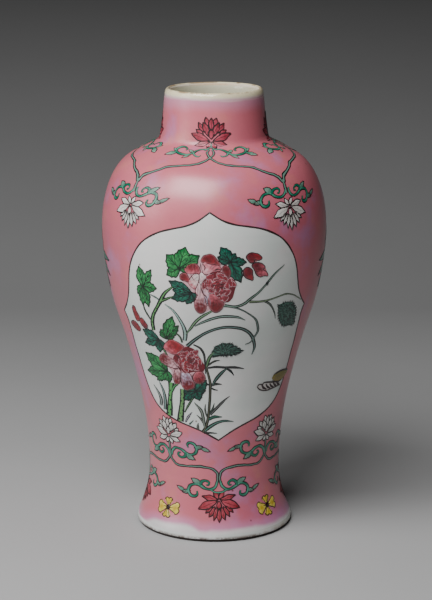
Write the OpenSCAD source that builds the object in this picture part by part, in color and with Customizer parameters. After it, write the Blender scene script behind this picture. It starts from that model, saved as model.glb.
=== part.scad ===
// Baluster porcelain vase: three thrown sections luted together, glazed inside
// and out, with a rose ground, two reserved panels and raised enamel painting.
// Millimetres, +Z up, origin at the centre of the foot's resting face.

/* [Body] */
// Height of the narrow waist above the table
foot_h = 35.5; // [28:0.5:45]
// Height from the waist up to the widest part of the belly
rise_h = 144.5; // [110:0.5:180]
// Height from the widest part of the belly up to the root of the neck
shoulder_h = 53.5; // [44:0.5:66]
// Height of the neck from its root to the lip
neck_h = 26.5; // [20:0.5:34]
// Widest radius of the foot
foot_r = 46.2; // [42:0.1:56]
// Radius of the waist
waist_r = 38.4; // [32:0.1:42]
// Widest radius of the belly
belly_r = 65.3; // [58:0.1:79]
// Radius at the root of the neck
neck_r = 31; // [27:0.1:37]
// Outer radius of the neck just under the lip
lip_r = 28.4; // [27:0.1:30]

/* [Walls] */
// Thickness of the body wall, glaze included
wall = 4; // [3:0.1:5]
// Thickness of the neck wall at the lip, glaze included
lip_wall = 3.4; // [2.6:0.1:4]
// Length of the straight bore below the lip
bore_h = 18; // [12:0.5:20]
// Width of the foot ring's resting face
pad_w = 4.5; // [3.5:0.1:6]
// Inset of the resting face's outer edge from the foot's widest radius
pad_inset = 1.2; // [0.6:0.1:2]
// Height of the foot's widest radius above the table
foot_edge_h = 2.6; // [2:0.1:4]
// Depth of the recess under the base
recess_h = 7; // [5:0.5:9]
// Thickness of the base above the recess
base_t = 5; // [4:0.5:7]
// Radius of the cove between the inside wall and the floor
cove_r = 9; // [6:0.5:12]
// Thickness of the slip that lutes two sections together
slip_t = 0.6; // [0.4:0.1:1]
// Height of the body seam as a distance above the waist
seam_rise = 84; // [70:1:100]

/* [Glaze and enamel] */
// Thickness of the clear glaze
glaze_t = 0.3; // [0.2:0.05:0.5]
// Height above the table at which the outside glaze stops
glaze_stop_h = 1.8; // [0.8:0.1:2.2]
// Thickness of the rose ground enamel
ground_t = 0.15; // [0.1:0.05:0.3]
// Height above the table at which the rose ground starts
ground_start_h = 4.5; // [4:0.5:10]
// Gap between the rose ground's top edge and the lip
ground_gap = 4; // [3:0.5:6]
// Height of the raised enamels above what they are painted on
relief_t = 0.2; // [0.15:0.05:0.4]
// Width of the drawn line around a panel
border_w = 0.8; // [0.5:0.1:1.2]

/* [Panels] */
// Width of a panel along the surface, from tip to tip
panel_w = 125; // [112:1:130]
// Height of a panel from its lower point to its upper point
panel_h = 138; // [120:1:142]
// Height of the panel's centre above the waist
panel_rise = 94; // [90:1:98]
// Lean of the front panel, as the painter set it out by eye
panel_lean = 2; // [0:0.5:3]

/* [Flower borders] */
// Width of a lotus flower
lotus_w = 22.5; // [16:0.5:24]
// Width of a yellow floret
floret_w = 17; // [12:0.5:19]
// Width of the scrolling vine's stem
vine_w = 1.3; // [0.8:0.1:2]
// Turn of the shoulder border about the axis, as it was set out by eye
shoulder_turn = -3; // [-5:0.5:5]
// Turn of the foot border about the axis, as it was set out by eye
foot_turn = 4; // [-5:0.5:5]

/* [Hidden] */

$fn = 96;
steps = 10;      // points on each curved stretch of the profile
hair = 0.01;     // overlap that keeps a cut from being coplanar
far = 200;       // larger than any radius of the vase
spare = 14;      // coat left round a motif before it is cut to shape
quarter = 90;    // the borders repeat every quarter turn

waist_z = foot_h;
belly_z = waist_z + rise_h;
neck_z = belly_z + shoulder_h;
height = neck_z + neck_h;
lip_round = lip_wall / 2;
bore_r = lip_r - lip_wall;
pad_r = foot_r - pad_inset;
recess_r = pad_r - pad_w;
floor_z = recess_h + base_t;
seam_z = waist_z + seam_rise;
neck_seam_z = neck_z + 2.5;
panel_z = waist_z + panel_rise;

// ---- The profile: knots [radius, height, lean, handle in, handle out] ----
// lean is the wall's angle from vertical in degrees, outwards positive.
rise_knot = [waist_r + 0.7 * (belly_r - waist_r), waist_z + 0.654 * rise_h, 19,
    0.26 * rise_h, 0.07 * rise_h];
shoulder_knot = [neck_r + 0.545 * (belly_r - neck_r), belly_z + 0.766 * shoulder_h, -57,
    0.2 * shoulder_h, 0.34 * shoulder_h];
knots = [
    [pad_r, 0, 50, 0, 0.3 * foot_edge_h],
    [foot_r, foot_edge_h, 0, 0.4 * foot_edge_h, 0.12 * foot_h],
    [waist_r, waist_z, 0, 0.56 * foot_h, 0.19 * rise_h],
    rise_knot,
    [belly_r, belly_z, 0, 0.13 * rise_h, 0.37 * shoulder_h],
    shoulder_knot,
    [neck_r, neck_z, -11, 0.09 * shoulder_h, 0.3 * neck_h],
    [lip_r, height - lip_round, -5, 0.3 * neck_h, 0]
];

function along(lean) = [sin(lean), cos(lean)];
function outwards(lean) = [cos(lean), -sin(lean)];
function bezier(a, b, c, d, t) =
    pow(1 - t, 3) * a + 3 * pow(1 - t, 2) * t * b + 3 * (1 - t) * t * t * c + t * t * t * d;
function bezier_slope(a, b, c, d, t) =
    3 * pow(1 - t, 2) * (b - a) + 6 * (1 - t) * t * (c - b) + 3 * t * t * (d - c);

// One curved stretch between two knots: [point, outward normal] at each step.
function stretch(k, m, n = steps) =
    let (
        a = [k[0], k[1]],
        d = [m[0], m[1]],
        b = a + k[4] * along(k[2]),
        c = d - m[3] * along(m[2])
    )
    [for (i = [0:n - 1])
        let (t = i / n, s = bezier_slope(a, b, c, d, t))
        [bezier(a, b, c, d, t), [s[1], -s[0]] / norm(s)]];
function chain(ks) = [
    for (i = [0:len(ks) - 2]) each stretch(ks[i], ks[i + 1]),
    let (last = ks[len(ks) - 1]) [[last[0], last[1]], outwards(last[2])]
];
skin = chain(knots);                                   // the glazed outside surface
radius_table = [for (s = skin) [s[0][1], s[0][0]]];
function radius_at(z) = lookup(z, radius_table);

// The outside surface moved outwards by d, from height lo to height hi.
across_table = [for (s = skin) [s[0][1], s[1][0]]];
rising_table = [for (s = skin) [s[0][1], s[1][1]]];
function outside_at(d, z) =
    [radius_at(z) + d * lookup(z, across_table), z + d * lookup(z, rising_table)];
function outside_path(d, lo, hi) = concat(
    lo > 0 ? [outside_at(d, lo)] : [],
    [for (s = skin) if (s[0][1] > max(lo + 0.1, -1) && s[0][1] < hi - 0.1) s[0] + d * s[1]],
    hi < height - lip_round ? [outside_at(d, hi)] : []
);
function reversed(points) = [for (i = [len(points) - 1:-1:0]) points[i]];

// The lip's rounding, a half circle from outside to inside, shrunk by d.
function lip_arc(d, from, to, n = 8) = [
    for (i = [0:n])
        let (a = from + (to - from) * i / n)
        [lip_r - lip_round + (lip_round - d) * cos(a), height - lip_round + (lip_round - d) * sin(a)]
];

// The hollow: the glazed inside surface, moved into the wall by d.
function inset(k) = [k[0] - wall * cos(k[2]), k[1] + wall * sin(k[2]), k[2], k[3], k[4]];
inner_low = [radius_at(floor_z + cove_r) - wall, floor_z + cove_r, -12, 0, 4];
inner_knots = [
    inner_low,
    inset(knots[2]),
    inset(rise_knot),
    inset(knots[4]),
    inset(shoulder_knot),
    [bore_r, height - bore_h, 0, 0.16 * shoulder_h, 0]
];
hollow = chain(inner_knots);
function hollow_path(d) = concat(
    [[0, floor_z - d]],
    [for (i = [0:6])
        let (a = 90 * i / 6)
        [inner_low[0] - cove_r + (cove_r + d) * sin(a), floor_z + cove_r - (cove_r + d) * cos(a)]],
    [for (i = [1:len(hollow) - 2]) hollow[i][0] + d * hollow[i][1]],
    [[bore_r + d, height - bore_h], [bore_r + d, height - lip_round]]
);

// The recess under the base, cut deeper by d.
function recess_path(d, low) = [
    [0, recess_h + d],
    [recess_r - 2 + d, recess_h + d],
    [recess_r - 0.6 + d, recess_h - 0.6 + d],
    [recess_r + d, recess_h - 2 + d],
    [recess_r + d, low]
];

module slab(lo, hi) { translate([0, 0, lo]) cylinder(r = far, h = hi - lo); }

// ---- Paste, slip and glaze ----
module paste() {
    outside = outside_path(-glaze_t, -1, height);
    rotate_extrude() polygon(concat(
        [[recess_r + glaze_t, 0], [outside[0][0], 0]],
        [for (i = [1:len(outside) - 1]) outside[i]],
        lip_arc(glaze_t, 0, 180),
        reversed(hollow_path(glaze_t)),
        [for (p = recess_path(glaze_t, 0)) if (p[1] > 0) p]
    ));
}
module section(lo, hi) { intersection() { paste(); slab(lo, hi); } }
module slip(z) { section(z - slip_t / 2, z + slip_t / 2); }

module lower_body() { color("oldlace") section(-1, seam_z - slip_t / 2); }
module body_seam_slip() { color("antiquewhite") slip(seam_z); }
module upper_body() { color("oldlace") section(seam_z + slip_t / 2, neck_seam_z - slip_t / 2); }
module neck_seam_slip() { color("antiquewhite") slip(neck_seam_z); }
module neck() { color("oldlace") section(neck_seam_z + slip_t / 2, height + 1); }

module outside_glaze() {
    color("whitesmoke") rotate_extrude() polygon(concat(
        outside_path(0, glaze_stop_h, height),
        lip_arc(0, 0, 90),
        reversed(lip_arc(glaze_t, 0, 90)),
        reversed(outside_path(-glaze_t, glaze_stop_h, height))
    ));
}
module inside_glaze() {
    color("whitesmoke") rotate_extrude() polygon(concat(
        reversed(hollow_path(glaze_t)),
        hollow_path(0),
        reversed(lip_arc(0, 90, 180)),
        lip_arc(glaze_t, 90, 180)
    ));
}
module base_glaze() {
    color("whitesmoke") rotate_extrude() polygon(concat(
        recess_path(glaze_t, glaze_stop_h),
        reversed(recess_path(0, glaze_stop_h))
    ));
}

// ---- Painting: outlines are [distance round, distance up the surface] ----
// Both are measured along the skin, from the front's middle line and the table.
function run_up(points, i = 1, sum = 0) =
    i == len(points) ? [sum] : concat([sum], run_up(points, i + 1, sum + norm(points[i] - points[i - 1])));
skin_up = run_up([for (s = skin) s[0]]);
height_table = [for (i = [0:len(skin) - 1]) [skin_up[i], skin[i][0][1]]];
up_table = [for (h = height_table) [h[1], h[0]]];
function height_at(up) = lookup(up, height_table);
function up_at(z) = lookup(z, up_table);

// A coat of enamel on the outside surface, from offset d0 to offset d1.
module coat(d0, d1, lo, hi) {
    rotate_extrude() polygon(concat(outside_path(d0, lo, hi), reversed(outside_path(d1, lo, hi))));
}
// Wraps an outline point onto the surface, as seen square on from the front.
function wrap(p) =
    let (z = height_at(p[1]), r = radius_at(z))
    [r * sin(p[0] / r * 180 / PI), z];
module patch(points) { polygon([for (p = points) wrap(p)]); }
// Projects flat shapes onto the front of the vase and keeps the enamel there.
module painted(d0, d1, lo, hi) {
    intersection() {
        coat(d0, d1, lo - spare, hi + spare);
        rotate([90, 0, 0]) linear_extrude(far) children();
    }
}
module on_glaze(lo, hi) { painted(0, relief_t, lo, hi) children(); }
module on_ground(lo, hi) { painted(ground_t, ground_t + relief_t, lo, hi) children(); }
module each_quarter(start = 0) { for (i = [0:3]) rotate(start + quarter * i) children(); }

function turned(points, angle, at = [0, 0]) = [
    for (p = points)
        at + [p[0] * cos(angle) - p[1] * sin(angle), p[0] * sin(angle) + p[1] * cos(angle)]
];
function scaled(points, k) = [for (p = points) p * k];
function mirrored(points) = [for (p = points) [-p[0], p[1]]];
// A petal from the origin upwards, widest at its middle.
function petal(length, width, n = 6) = concat(
    [for (i = [0:n]) [width / 2 * sin(180 * i / n), length * i / n]],
    [for (i = [n - 1:-1:1]) [-width / 2 * sin(180 * i / n), length * i / n]]
);
// A flower with round lobes; depth is how far the notches cut in.
function lobed(radius, lobes, depth, n = 40) = [
    for (i = [0:n - 1])
        let (a = 360 * i / n, r = radius * (1 - depth * (1 - abs(cos(lobes * a / 2)))))
        [r * sin(a), r * cos(a)]
];
function oval(x, y, w, h, n = 20) = [
    for (i = [0:n - 1]) [x + w / 2 * sin(360 * i / n), y + h / 2 * cos(360 * i / n)]
];
// A stroke along a line of points, w wide at its start and w_end at its end.
function stroke_side(path, w, w_end) = [
    for (i = [0:len(path) - 1])
        let (
            a = path[max(i - 1, 0)],
            b = path[min(i + 1, len(path) - 1)],
            s = (b - a) / norm(b - a),
            half = (w + (w_end - w) * i / (len(path) - 1)) / 2
        )
        path[i] + half * [s[1], -s[0]]
];
function stroke(path, w, w_end) =
    concat(stroke_side(path, w, w_end), reversed(stroke_side(path, -w, -w_end)));
function curve(a, b, c, d, n = 8) = [for (i = [0:n]) bezier(a, b, c, d, i / n)];
// A smooth line through a few points.
function tangent(p, i) = (p[min(i + 1, len(p) - 1)] - p[max(i - 1, 0)]) / 6;
function smooth(p, n = 3) = concat(
    [for (i = [0:len(p) - 2], k = [0:n - 1])
        bezier(p[i], p[i] + tangent(p, i), p[i + 1] - tangent(p, i + 1), p[i + 1], k / n)],
    [p[len(p) - 1]]
);

// ---- Panels ----
// Half the panel's outline, as shares of its half width and half height.
half_panel = concat(
    curve([0, 1], [0.08, 0.94], [0.14, 0.905], [0.225, 0.893], 4),
    curve([0.225, 0.893], [0.45, 0.865], [0.69, 0.81], [0.815, 0.58], 7),
    curve([0.815, 0.58], [0.89, 0.42], [0.85, 0.25], [1, 0.12], 6),
    curve([1, 0.12], [0.94, 0.01], [0.92, -0.11], [0.865, -0.3], 4),
    curve([0.865, -0.3], [0.81, -0.49], [0.72, -0.66], [0.545, -0.775], 5),
    curve([0.545, -0.775], [0.385, -0.87], [0.19, -0.88], [0, -1], 5)
);
function distinct(points) =
    [for (i = [0:len(points) - 1]) if (i == 0 || norm(points[i] - points[i - 1]) > 0.001) points[i]];
panel_up = up_at(panel_z);
panel_side = [for (p = distinct(half_panel)) [p[0] * panel_w / 2, p[1] * panel_h / 2]];
panel_outline = turned(
    concat(panel_side, [for (i = [len(panel_side) - 2:-1:1]) [-panel_side[i][0], panel_side[i][1]]]),
    panel_lean, [0, panel_up]
);
// A closed outline moved outwards by d along its own normals.
function grown(points, d) = [
    for (i = [0:len(points) - 1])
        let (
            n = len(points),
            a = points[(i + n - 1) % n],
            b = points[(i + 1) % n],
            s = (b - a) / norm(b - a)
        )
        points[i] + d * [-s[1], s[0]]
];
panel_lo = panel_z - panel_h / 2;
panel_hi = panel_z + panel_h / 2;

module panel_border() {
    on_glaze(panel_lo, panel_hi) difference() {
        patch(grown(panel_outline, border_w / 2));
        patch(grown(panel_outline, -border_w / 2));
    }
}
module panel_window() {
    rotate([90, 0, 0]) linear_extrude(far) patch(grown(panel_outline, border_w / 2));
}
module back() { rotate(180) mirror([1, 0, 0]) children(); }
module rose_ground() {
    color("palevioletred") difference() {
        coat(0, ground_t, ground_start_h, height - ground_gap);
        panel_window();
        back() panel_window();
    }
}
// Places an outline on the panel, measured from the panel's centre. The
// painting was set out for a panel of this size and grows and shrinks with it.
set_out = [125, 138];
module on_panel(points, x = 0, y = 0, angle = 0) {
    patch([
        for (q = turned(points, angle, [x, y]))
            [q[0] * panel_w / set_out[0], panel_up + q[1] * panel_h / set_out[1]]
    ]);
}

// Peony petals: [distance right, distance up, width, height] of each oval.
petals = [
    [-2, 43.5, 11, 9], [-11.5, 38, 11, 8], [-15.5, 32.5, 8, 7], [-11, 28, 8, 10],
    [-7.5, 18, 8, 12], [1.5, 19, 9, 12], [6.5, 37, 7, 9],
    [-24, -11, 12, 9], [-28, -20.5, 11, 8], [-22, -31, 6, 10], [-16, -35, 9, 11], [-8.5, -30.5, 8, 10]
];
// Peony hearts: [distance right, distance up, radius].
hearts = [[2, 29.5, 10.5], [-14.5, -20, 9.5]];
module heart_shapes() { for (h = hearts) on_panel(lobed(h[2], 9, 0.14, 36), h[0], h[1]); }
module peony_hearts() { color("brown") on_glaze(panel_z - 30, panel_z + 40) heart_shapes(); }
// Buds: [distance right, distance up, turn] of each small petal.
buds = [
    [19, 45.5, -80], [22, 41, -95], [21, 39, -150], [17, 39, -140], [-47, 1, 40], [-46, 1, 80], [-42, 1, 55]
];
module peony_shapes() {
    for (p = petals) on_panel(oval(p[0], p[1], p[2], p[3]));
    for (b = buds) on_panel(petal(9, 5), b[0], b[1], b[2]);
}
module peonies() {
    color("crimson") on_glaze(panel_z - 40, panel_z + 48) difference() {
        peony_shapes();
        heart_shapes();
    }
}
// Leaves: [distance right, distance up, [turn and length of each lobe]].
leaves = [
    [-17, 38, [[-2, 13], [-55, 11], [50, 13], [98, 10]]],
    [9, 41, [[35, 12], [-75, 9], [-155, 13]]],
    [-14, 26, [[65, 11], [105, 12], [160, 9]]],
    [-42, 20, [[8, 17], [-20, 17], [-70, 9], [170, 8]]],
    [-29, -6, [[-15, 15], [-60, 10]]],
    [-34, -7, [[62, 13], [112, 12], [180, 9]]],
    [-28, -29, [[62, 19], [95, 17], [125, 12], [178, 8]]],
    [-11, -38, [[-55, 10], [-95, 8], [-150, 9], [100, 8]]]
];
module leaf_shapes() {
    for (l = leaves, lobe = l[2]) on_panel(petal(lobe[1], 0.5 * lobe[1]), l[0], l[1], lobe[0]);
}
module peony_leaves() {
    color("seagreen") on_glaze(panel_z - 48, panel_z + 52) difference() {
        leaf_shapes();
        peony_shapes();
        heart_shapes();
    }
}
// Stems and grass: [line from the root, width at the root, width at the tip].
stems = [
    [[[-28, -55], [-27, -45], [-26.5, -34]], 3.4, 2.4],
    [[[-20.5, -58], [-19, -47], [-18.5, -38]], 3.6, 2.6],
    [[[-38, -2], [-36.5, 8], [-31, 18], [-24, 25]], 2.6, 1.2],
    [[[-39, 7], [-42, 11], [-43, 16]], 1, 0.8],
    [[[-17, -8], [-17.5, 2], [-22, 10], [-29, 16]], 2, 0.8],
    [[[-15, -2], [-12, 5], [-7, 9.5], [-2, 13]], 1.8, 1],
    [[[-11, 4], [-2, 8], [8, 10.5], [17, 7.5]], 1.8, 0.6],
    [[[-16, -10], [-8, -2], [4, 3], [16, 1], [22, -5], [23.5, -12], [22, -16]], 2.2, 0.8],
    [[[6, 16], [15, 16.5], [24, 23], [33, 32], [42, 38]], 1.6, 0.8],
    [[[12, 15], [20, 12], [25, 4], [25.5, -2], [23, -6]], 1.2, 0.8],
    [[[18, 18], [33, 18.5], [45, 20], [57, 15]], 1.2, 0.8],
    [[[29, 18], [34, 15], [37, 8]], 1.2, 0.8],
    [[[-6, -66], [-3.5, -56], [-2.3, -42], [-2.5, -34], [-4, -25]], 2, 1.4],
    [[[-1, -35], [3, -28], [8, -24]], 1.8, 1],
    [[[-3, -24], [6, -23.5], [17, -25]], 1.2, 0.8],
    [[[-2, -54], [4, -48], [9.5, -42.5]], 2, 0.8],
    [[[-5, -65], [0, -61], [5, -59], [11, -59.5]], 2, 0.8],
    [[[-34, -53], [-35, -46], [-40, -40]], 2.2, 0.8],
    [[[-31, -55], [-30.5, -45], [-35, -36]], 2.2, 0.8]
];
module stem_shapes() {
    for (s = stems) on_panel(stroke(smooth(s[0]), s[1], s[2]));
}
module seed_head_shapes() {
    on_panel(lobed(8, 16, 0.12, 48), 46.5, 7);
    on_panel(petal(17, 10), -1, -13, -88);
}
module bird_shapes() {
    on_panel(petal(19, 5), 26, -39.5, -88);
    on_panel(petal(13, 7), 38.5, -35, -90);
}
module stems_and_grass() {
    color("olivedrab") on_glaze(panel_z - 66, panel_z + 44) difference() {
        stem_shapes();
        leaf_shapes();
        peony_shapes();
        heart_shapes();
        seed_head_shapes();
    }
}
module seed_heads() { color("darkslategray") on_glaze(panel_z - 20, panel_z + 20) seed_head_shapes(); }
module bird() { color("goldenrod") on_glaze(panel_z - 42, panel_z - 28) bird_shapes(); }

// ---- Flower borders ----
// A lotus as a fan of petals: turn, length and width as shares of the flower.
lotus = [
    [-70, 0.5, 0.2], [70, 0.5, 0.2], [-107, 0.38, 0.16], [107, 0.38, 0.16], [-150, 0.2, 0.12],
    [150, 0.2, 0.12], [-36, 0.48, 0.17], [-12, 0.52, 0.16], [12, 0.52, 0.16], [36, 0.48, 0.17]
];
module lotus_shape(up, angle = 0) {
    for (p = lotus)
        patch(turned(petal(lotus_w * p[1], lotus_w * p[2]), p[0] + angle, [0, up]));
}
shoulder_white_z = panel_hi + 0.2;     // level with the panels' upper points
shoulder_rose_z = neck_z;
foot_white_z = panel_lo + 0.4;         // level with the panels' lower points
foot_rose_z = 0.685 * foot_h;
floret_z = 0.493 * foot_h;

module shoulder_white_lotuses() {
    color("ivory") each_quarter(shoulder_turn + quarter / 2)
        on_ground(shoulder_white_z - 12, shoulder_white_z + 6)
            lotus_shape(up_at(shoulder_white_z), 180);
}
module shoulder_rose_lotuses() {
    color("firebrick") each_quarter(shoulder_turn)
        on_ground(shoulder_rose_z - 6, shoulder_rose_z + 12)
            lotus_shape(up_at(shoulder_rose_z));
}
module foot_white_lotuses() {
    color("ivory") each_quarter(foot_turn + quarter / 2)
        on_ground(foot_white_z - 6, foot_white_z + 12)
            lotus_shape(up_at(foot_white_z));
}
module foot_rose_lotuses() {
    color("firebrick") each_quarter(foot_turn)
        on_ground(foot_rose_z - 12, foot_rose_z + 6)
            lotus_shape(up_at(foot_rose_z), 180);
}
// A floret of four round petals, wider than it is tall.
module yellow_florets() {
    k = floret_w / 17;
    color("gold") each_quarter(foot_turn + quarter / 2)
        on_ground(floret_z - 8, floret_z + 8)
            for (p = [[-5, 0, 7.5, 5.5], [5, 0, 7.5, 5.5], [0.5, 3.6, 5, 4.6], [-0.5, -3.6, 5, 4.6]])
                patch([for (q = scaled(oval(p[0], p[1], p[2], p[3]), k)) q + [0, up_at(floret_z)]]);
}

// The vine's line from a rose lotus to the next white one. Each point is a
// share of the way round to the white lotus, and a share of the way to the rose.
shoulder_line = [[0, 0.87], [0.03, 0.8], [0.18, 0.66], [0.5, 0.64], [0.73, 0.56], [0.93, 0.42], [1, 0.3]];
foot_line = [[0.06, 0.8], [0.04, 0.65], [0.12, 0.52], [0.33, 0.46], [0.66, 0.47], [0.92, 0.43], [1, 0.3]];
function vine_points(line, white_z, rose_z) = [
    for (p = line)
        let (z = white_z + p[1] * (rose_z - white_z))
        [p[0] * radius_at(z) * PI / 4, up_at(z)]
];
// A scroll beside each flower's stalk, in shares of the flower's width.
scroll_line = [
    [0.05, 0.3], [0.28, 0.27], [0.46, 0.35], [0.63, 0.35],
    [0.8, 0.24], [0.85, 0.12], [0.73, 0.03], [0.62, 0.1]
];
module scroll_shapes(up, angle) {
    line = scaled(smooth(scroll_line), lotus_w);
    curl = turned(petal(0.24 * lotus_w, 0.12 * lotus_w), 55, [0.46, 0.35] * lotus_w);
    for (shape = [stroke(line, vine_w, 1.8 * vine_w), curl, mirrored(stroke(line, vine_w, 1.8 * vine_w)),
            mirrored(curl)])
        patch(turned(shape, angle, [0, up]));
}
module vine(turn, line, white_z, rose_z, lo, hi) {
    each_quarter(turn) on_ground(lo, hi) {
        half = stroke(smooth(vine_points(line, white_z, rose_z), 4), vine_w, vine_w);
        patch(half);
        patch(mirrored(half));
    }
}
module shoulder_vine() {
    color("darkseagreen")
        vine(shoulder_turn, shoulder_line, shoulder_white_z, shoulder_rose_z,
            shoulder_white_z, shoulder_rose_z);
}
module foot_vine() {
    color("darkseagreen")
        vine(foot_turn, foot_line, foot_white_z, foot_rose_z, foot_rose_z, foot_white_z);
}
module scrolls(turn, white_z, white_turn, rose_z) {
    color("mediumseagreen") {
        each_quarter(turn + quarter / 2) on_ground(white_z - 12, white_z + 12)
            scroll_shapes(up_at(white_z), white_turn);
        each_quarter(turn) on_ground(rose_z - 12, rose_z + 12)
            scroll_shapes(up_at(rose_z), white_turn + 180);
    }
}
module shoulder_scrolls() { scrolls(shoulder_turn, shoulder_white_z, 0, shoulder_rose_z); }
module foot_scrolls() { scrolls(foot_turn, foot_white_z, 180, foot_rose_z); }

// A small flowering sprig on each side, between the two panels.
module side_sprigs() {
    sprig_z = belly_z - 14;
    up = up_at(sprig_z);
    color("seagreen") for (a = [90, 270]) rotate(a)
        on_ground(sprig_z - 18, sprig_z + 18) {
            patch(turned(lobed(7, 5, 0.3, 30), 0, [0, up + 7]));
            for (t = [100, 140, 180, 220, 260])
                patch(turned(petal(t == 180 ? 15 : 23, 5.5), t, [0, up + 3]));
        }
}

lower_body();
body_seam_slip();
upper_body();
neck_seam_slip();
neck();
outside_glaze();
inside_glaze();
base_glaze();
rose_ground();
color("saddlebrown") panel_border();  // front_panel_border
peonies();  // front_peonies
peony_hearts();  // front_peony_hearts
peony_leaves();  // front_leaves
stems_and_grass();  // front_stems_and_grass
seed_heads();  // front_seed_heads
bird();  // front_bird
color("saddlebrown") back() panel_border();  // back_panel_border
back() peonies();  // back_peonies
back() peony_hearts();  // back_peony_hearts
back() peony_leaves();  // back_leaves
back() stems_and_grass();  // back_stems_and_grass
back() seed_heads();  // back_seed_heads
back() bird();  // back_bird
shoulder_rose_lotuses();
shoulder_white_lotuses();
shoulder_vine();
shoulder_scrolls();
foot_white_lotuses();
foot_rose_lotuses();
foot_vine();
foot_scrolls();
yellow_florets();
side_sprigs();
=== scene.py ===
"""Porcelain baluster vase: glazed body, rose ground and enamel painting.

Everything painted is laid out in millimetres on the vase's skin: "u" runs round
from the front's middle line (to the right is positive) and "v" runs up the skin
from the table. Skin.place() wraps such a point onto the body."""
import math
import bmesh
import bpy
import numpy as np
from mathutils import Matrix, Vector, geometry, noise
from mathutils.bvhtree import BVHTree


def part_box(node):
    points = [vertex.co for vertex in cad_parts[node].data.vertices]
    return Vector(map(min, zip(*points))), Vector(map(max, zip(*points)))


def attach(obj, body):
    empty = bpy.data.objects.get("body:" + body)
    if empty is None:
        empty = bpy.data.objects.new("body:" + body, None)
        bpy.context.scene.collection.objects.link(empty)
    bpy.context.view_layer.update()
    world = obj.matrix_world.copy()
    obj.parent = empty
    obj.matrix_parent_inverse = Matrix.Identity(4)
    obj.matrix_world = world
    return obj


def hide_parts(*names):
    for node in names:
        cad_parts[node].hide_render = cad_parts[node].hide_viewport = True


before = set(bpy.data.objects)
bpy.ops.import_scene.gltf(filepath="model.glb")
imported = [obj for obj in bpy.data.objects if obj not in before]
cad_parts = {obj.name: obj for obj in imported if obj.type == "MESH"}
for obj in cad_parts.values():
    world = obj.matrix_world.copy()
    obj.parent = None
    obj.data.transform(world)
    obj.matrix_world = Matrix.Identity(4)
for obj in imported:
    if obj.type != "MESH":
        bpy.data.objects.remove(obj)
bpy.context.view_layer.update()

MM = 0.001
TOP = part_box("inside_glaze")[1].z / MM
SHOULDER_TURN = -3.0
FOOT_TURN = 4.0
SKIN_STEP = 0.25        # between the points that the skin is known at, up the skin
WINDOW_GAP = 0.8        # from a panel window's edge to the ground's nearest inner point
GROUND_EDGE = 0.9       # over which the ground swells up from a window's edge
GROUND_END = 2.5        # over which it thins out at its top and bottom


# ---------------------------------------------------------------- the skin
def hit_radius(tree, z, outwards):
    """Widest radius at which rays through the axis at height z meet a node."""
    best = 0.0
    for k in range(24):
        a = 0.11 + k * math.tau / 24
        way = Vector((math.cos(a), math.sin(a), 0.0))
        start = Vector((0, 0, z * MM)) if outwards else way * 0.3 + Vector((0, 0, z * MM))
        point = tree.ray_cast(start, way if outwards else -way)[0]
        if point is not None:
            best = max(best, math.hypot(point.x, point.y) / MM)
    return best


def tree_of(node):
    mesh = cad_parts[node].data
    return BVHTree.FromPolygons([v.co.copy() for v in mesh.vertices],
                                [tuple(p.vertices) for p in mesh.polygons])


def outer_rings(lip_z):
    """The glaze's own rings of points, [radius, height], from the foot to the lip."""
    tree = tree_of("outside_glaze")
    widest = {}
    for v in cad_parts["outside_glaze"].data.vertices:
        r, z = math.hypot(v.co.x, v.co.y) / MM, v.co.z / MM
        key = round(z * 20)
        if r > widest.get(key, (0, 0))[0]:
            widest[key] = (r, z)
    rings = []
    for r, z in sorted(widest.values(), key=lambda p: p[1]):
        far_enough = not rings or z - rings[-1][1] > 0.4
        if z <= lip_z + 0.01 and far_enough and abs(hit_radius(tree, z, False) - r) < 0.12:
            rings.append((r, z))
    return rings


def smooth_line(points, steps, closed=False):
    """A smooth curve through points, with the same number of steps on each span."""
    pts = [np.array(p, float) for p in points]
    n = len(pts)
    out = []
    for i in range(n if closed else n - 1):
        if closed:
            a, b, c, d = (pts[(i + k) % n] for k in (-1, 0, 1, 2))
        else:
            b, c = pts[i], pts[i + 1]
            a = pts[i - 1] if i else 2 * b - c
            d = pts[i + 2] if i + 2 < n else 2 * c - b
        for k in range(steps):
            t = k / steps
            out.append(0.5 * (2 * b + (c - a) * t + (2 * a - 5 * b + 4 * c - d) * t * t
                              + (3 * b - a - 3 * c + d) * t ** 3))
    if not closed:
        out.append(pts[-1])
    return out


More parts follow.
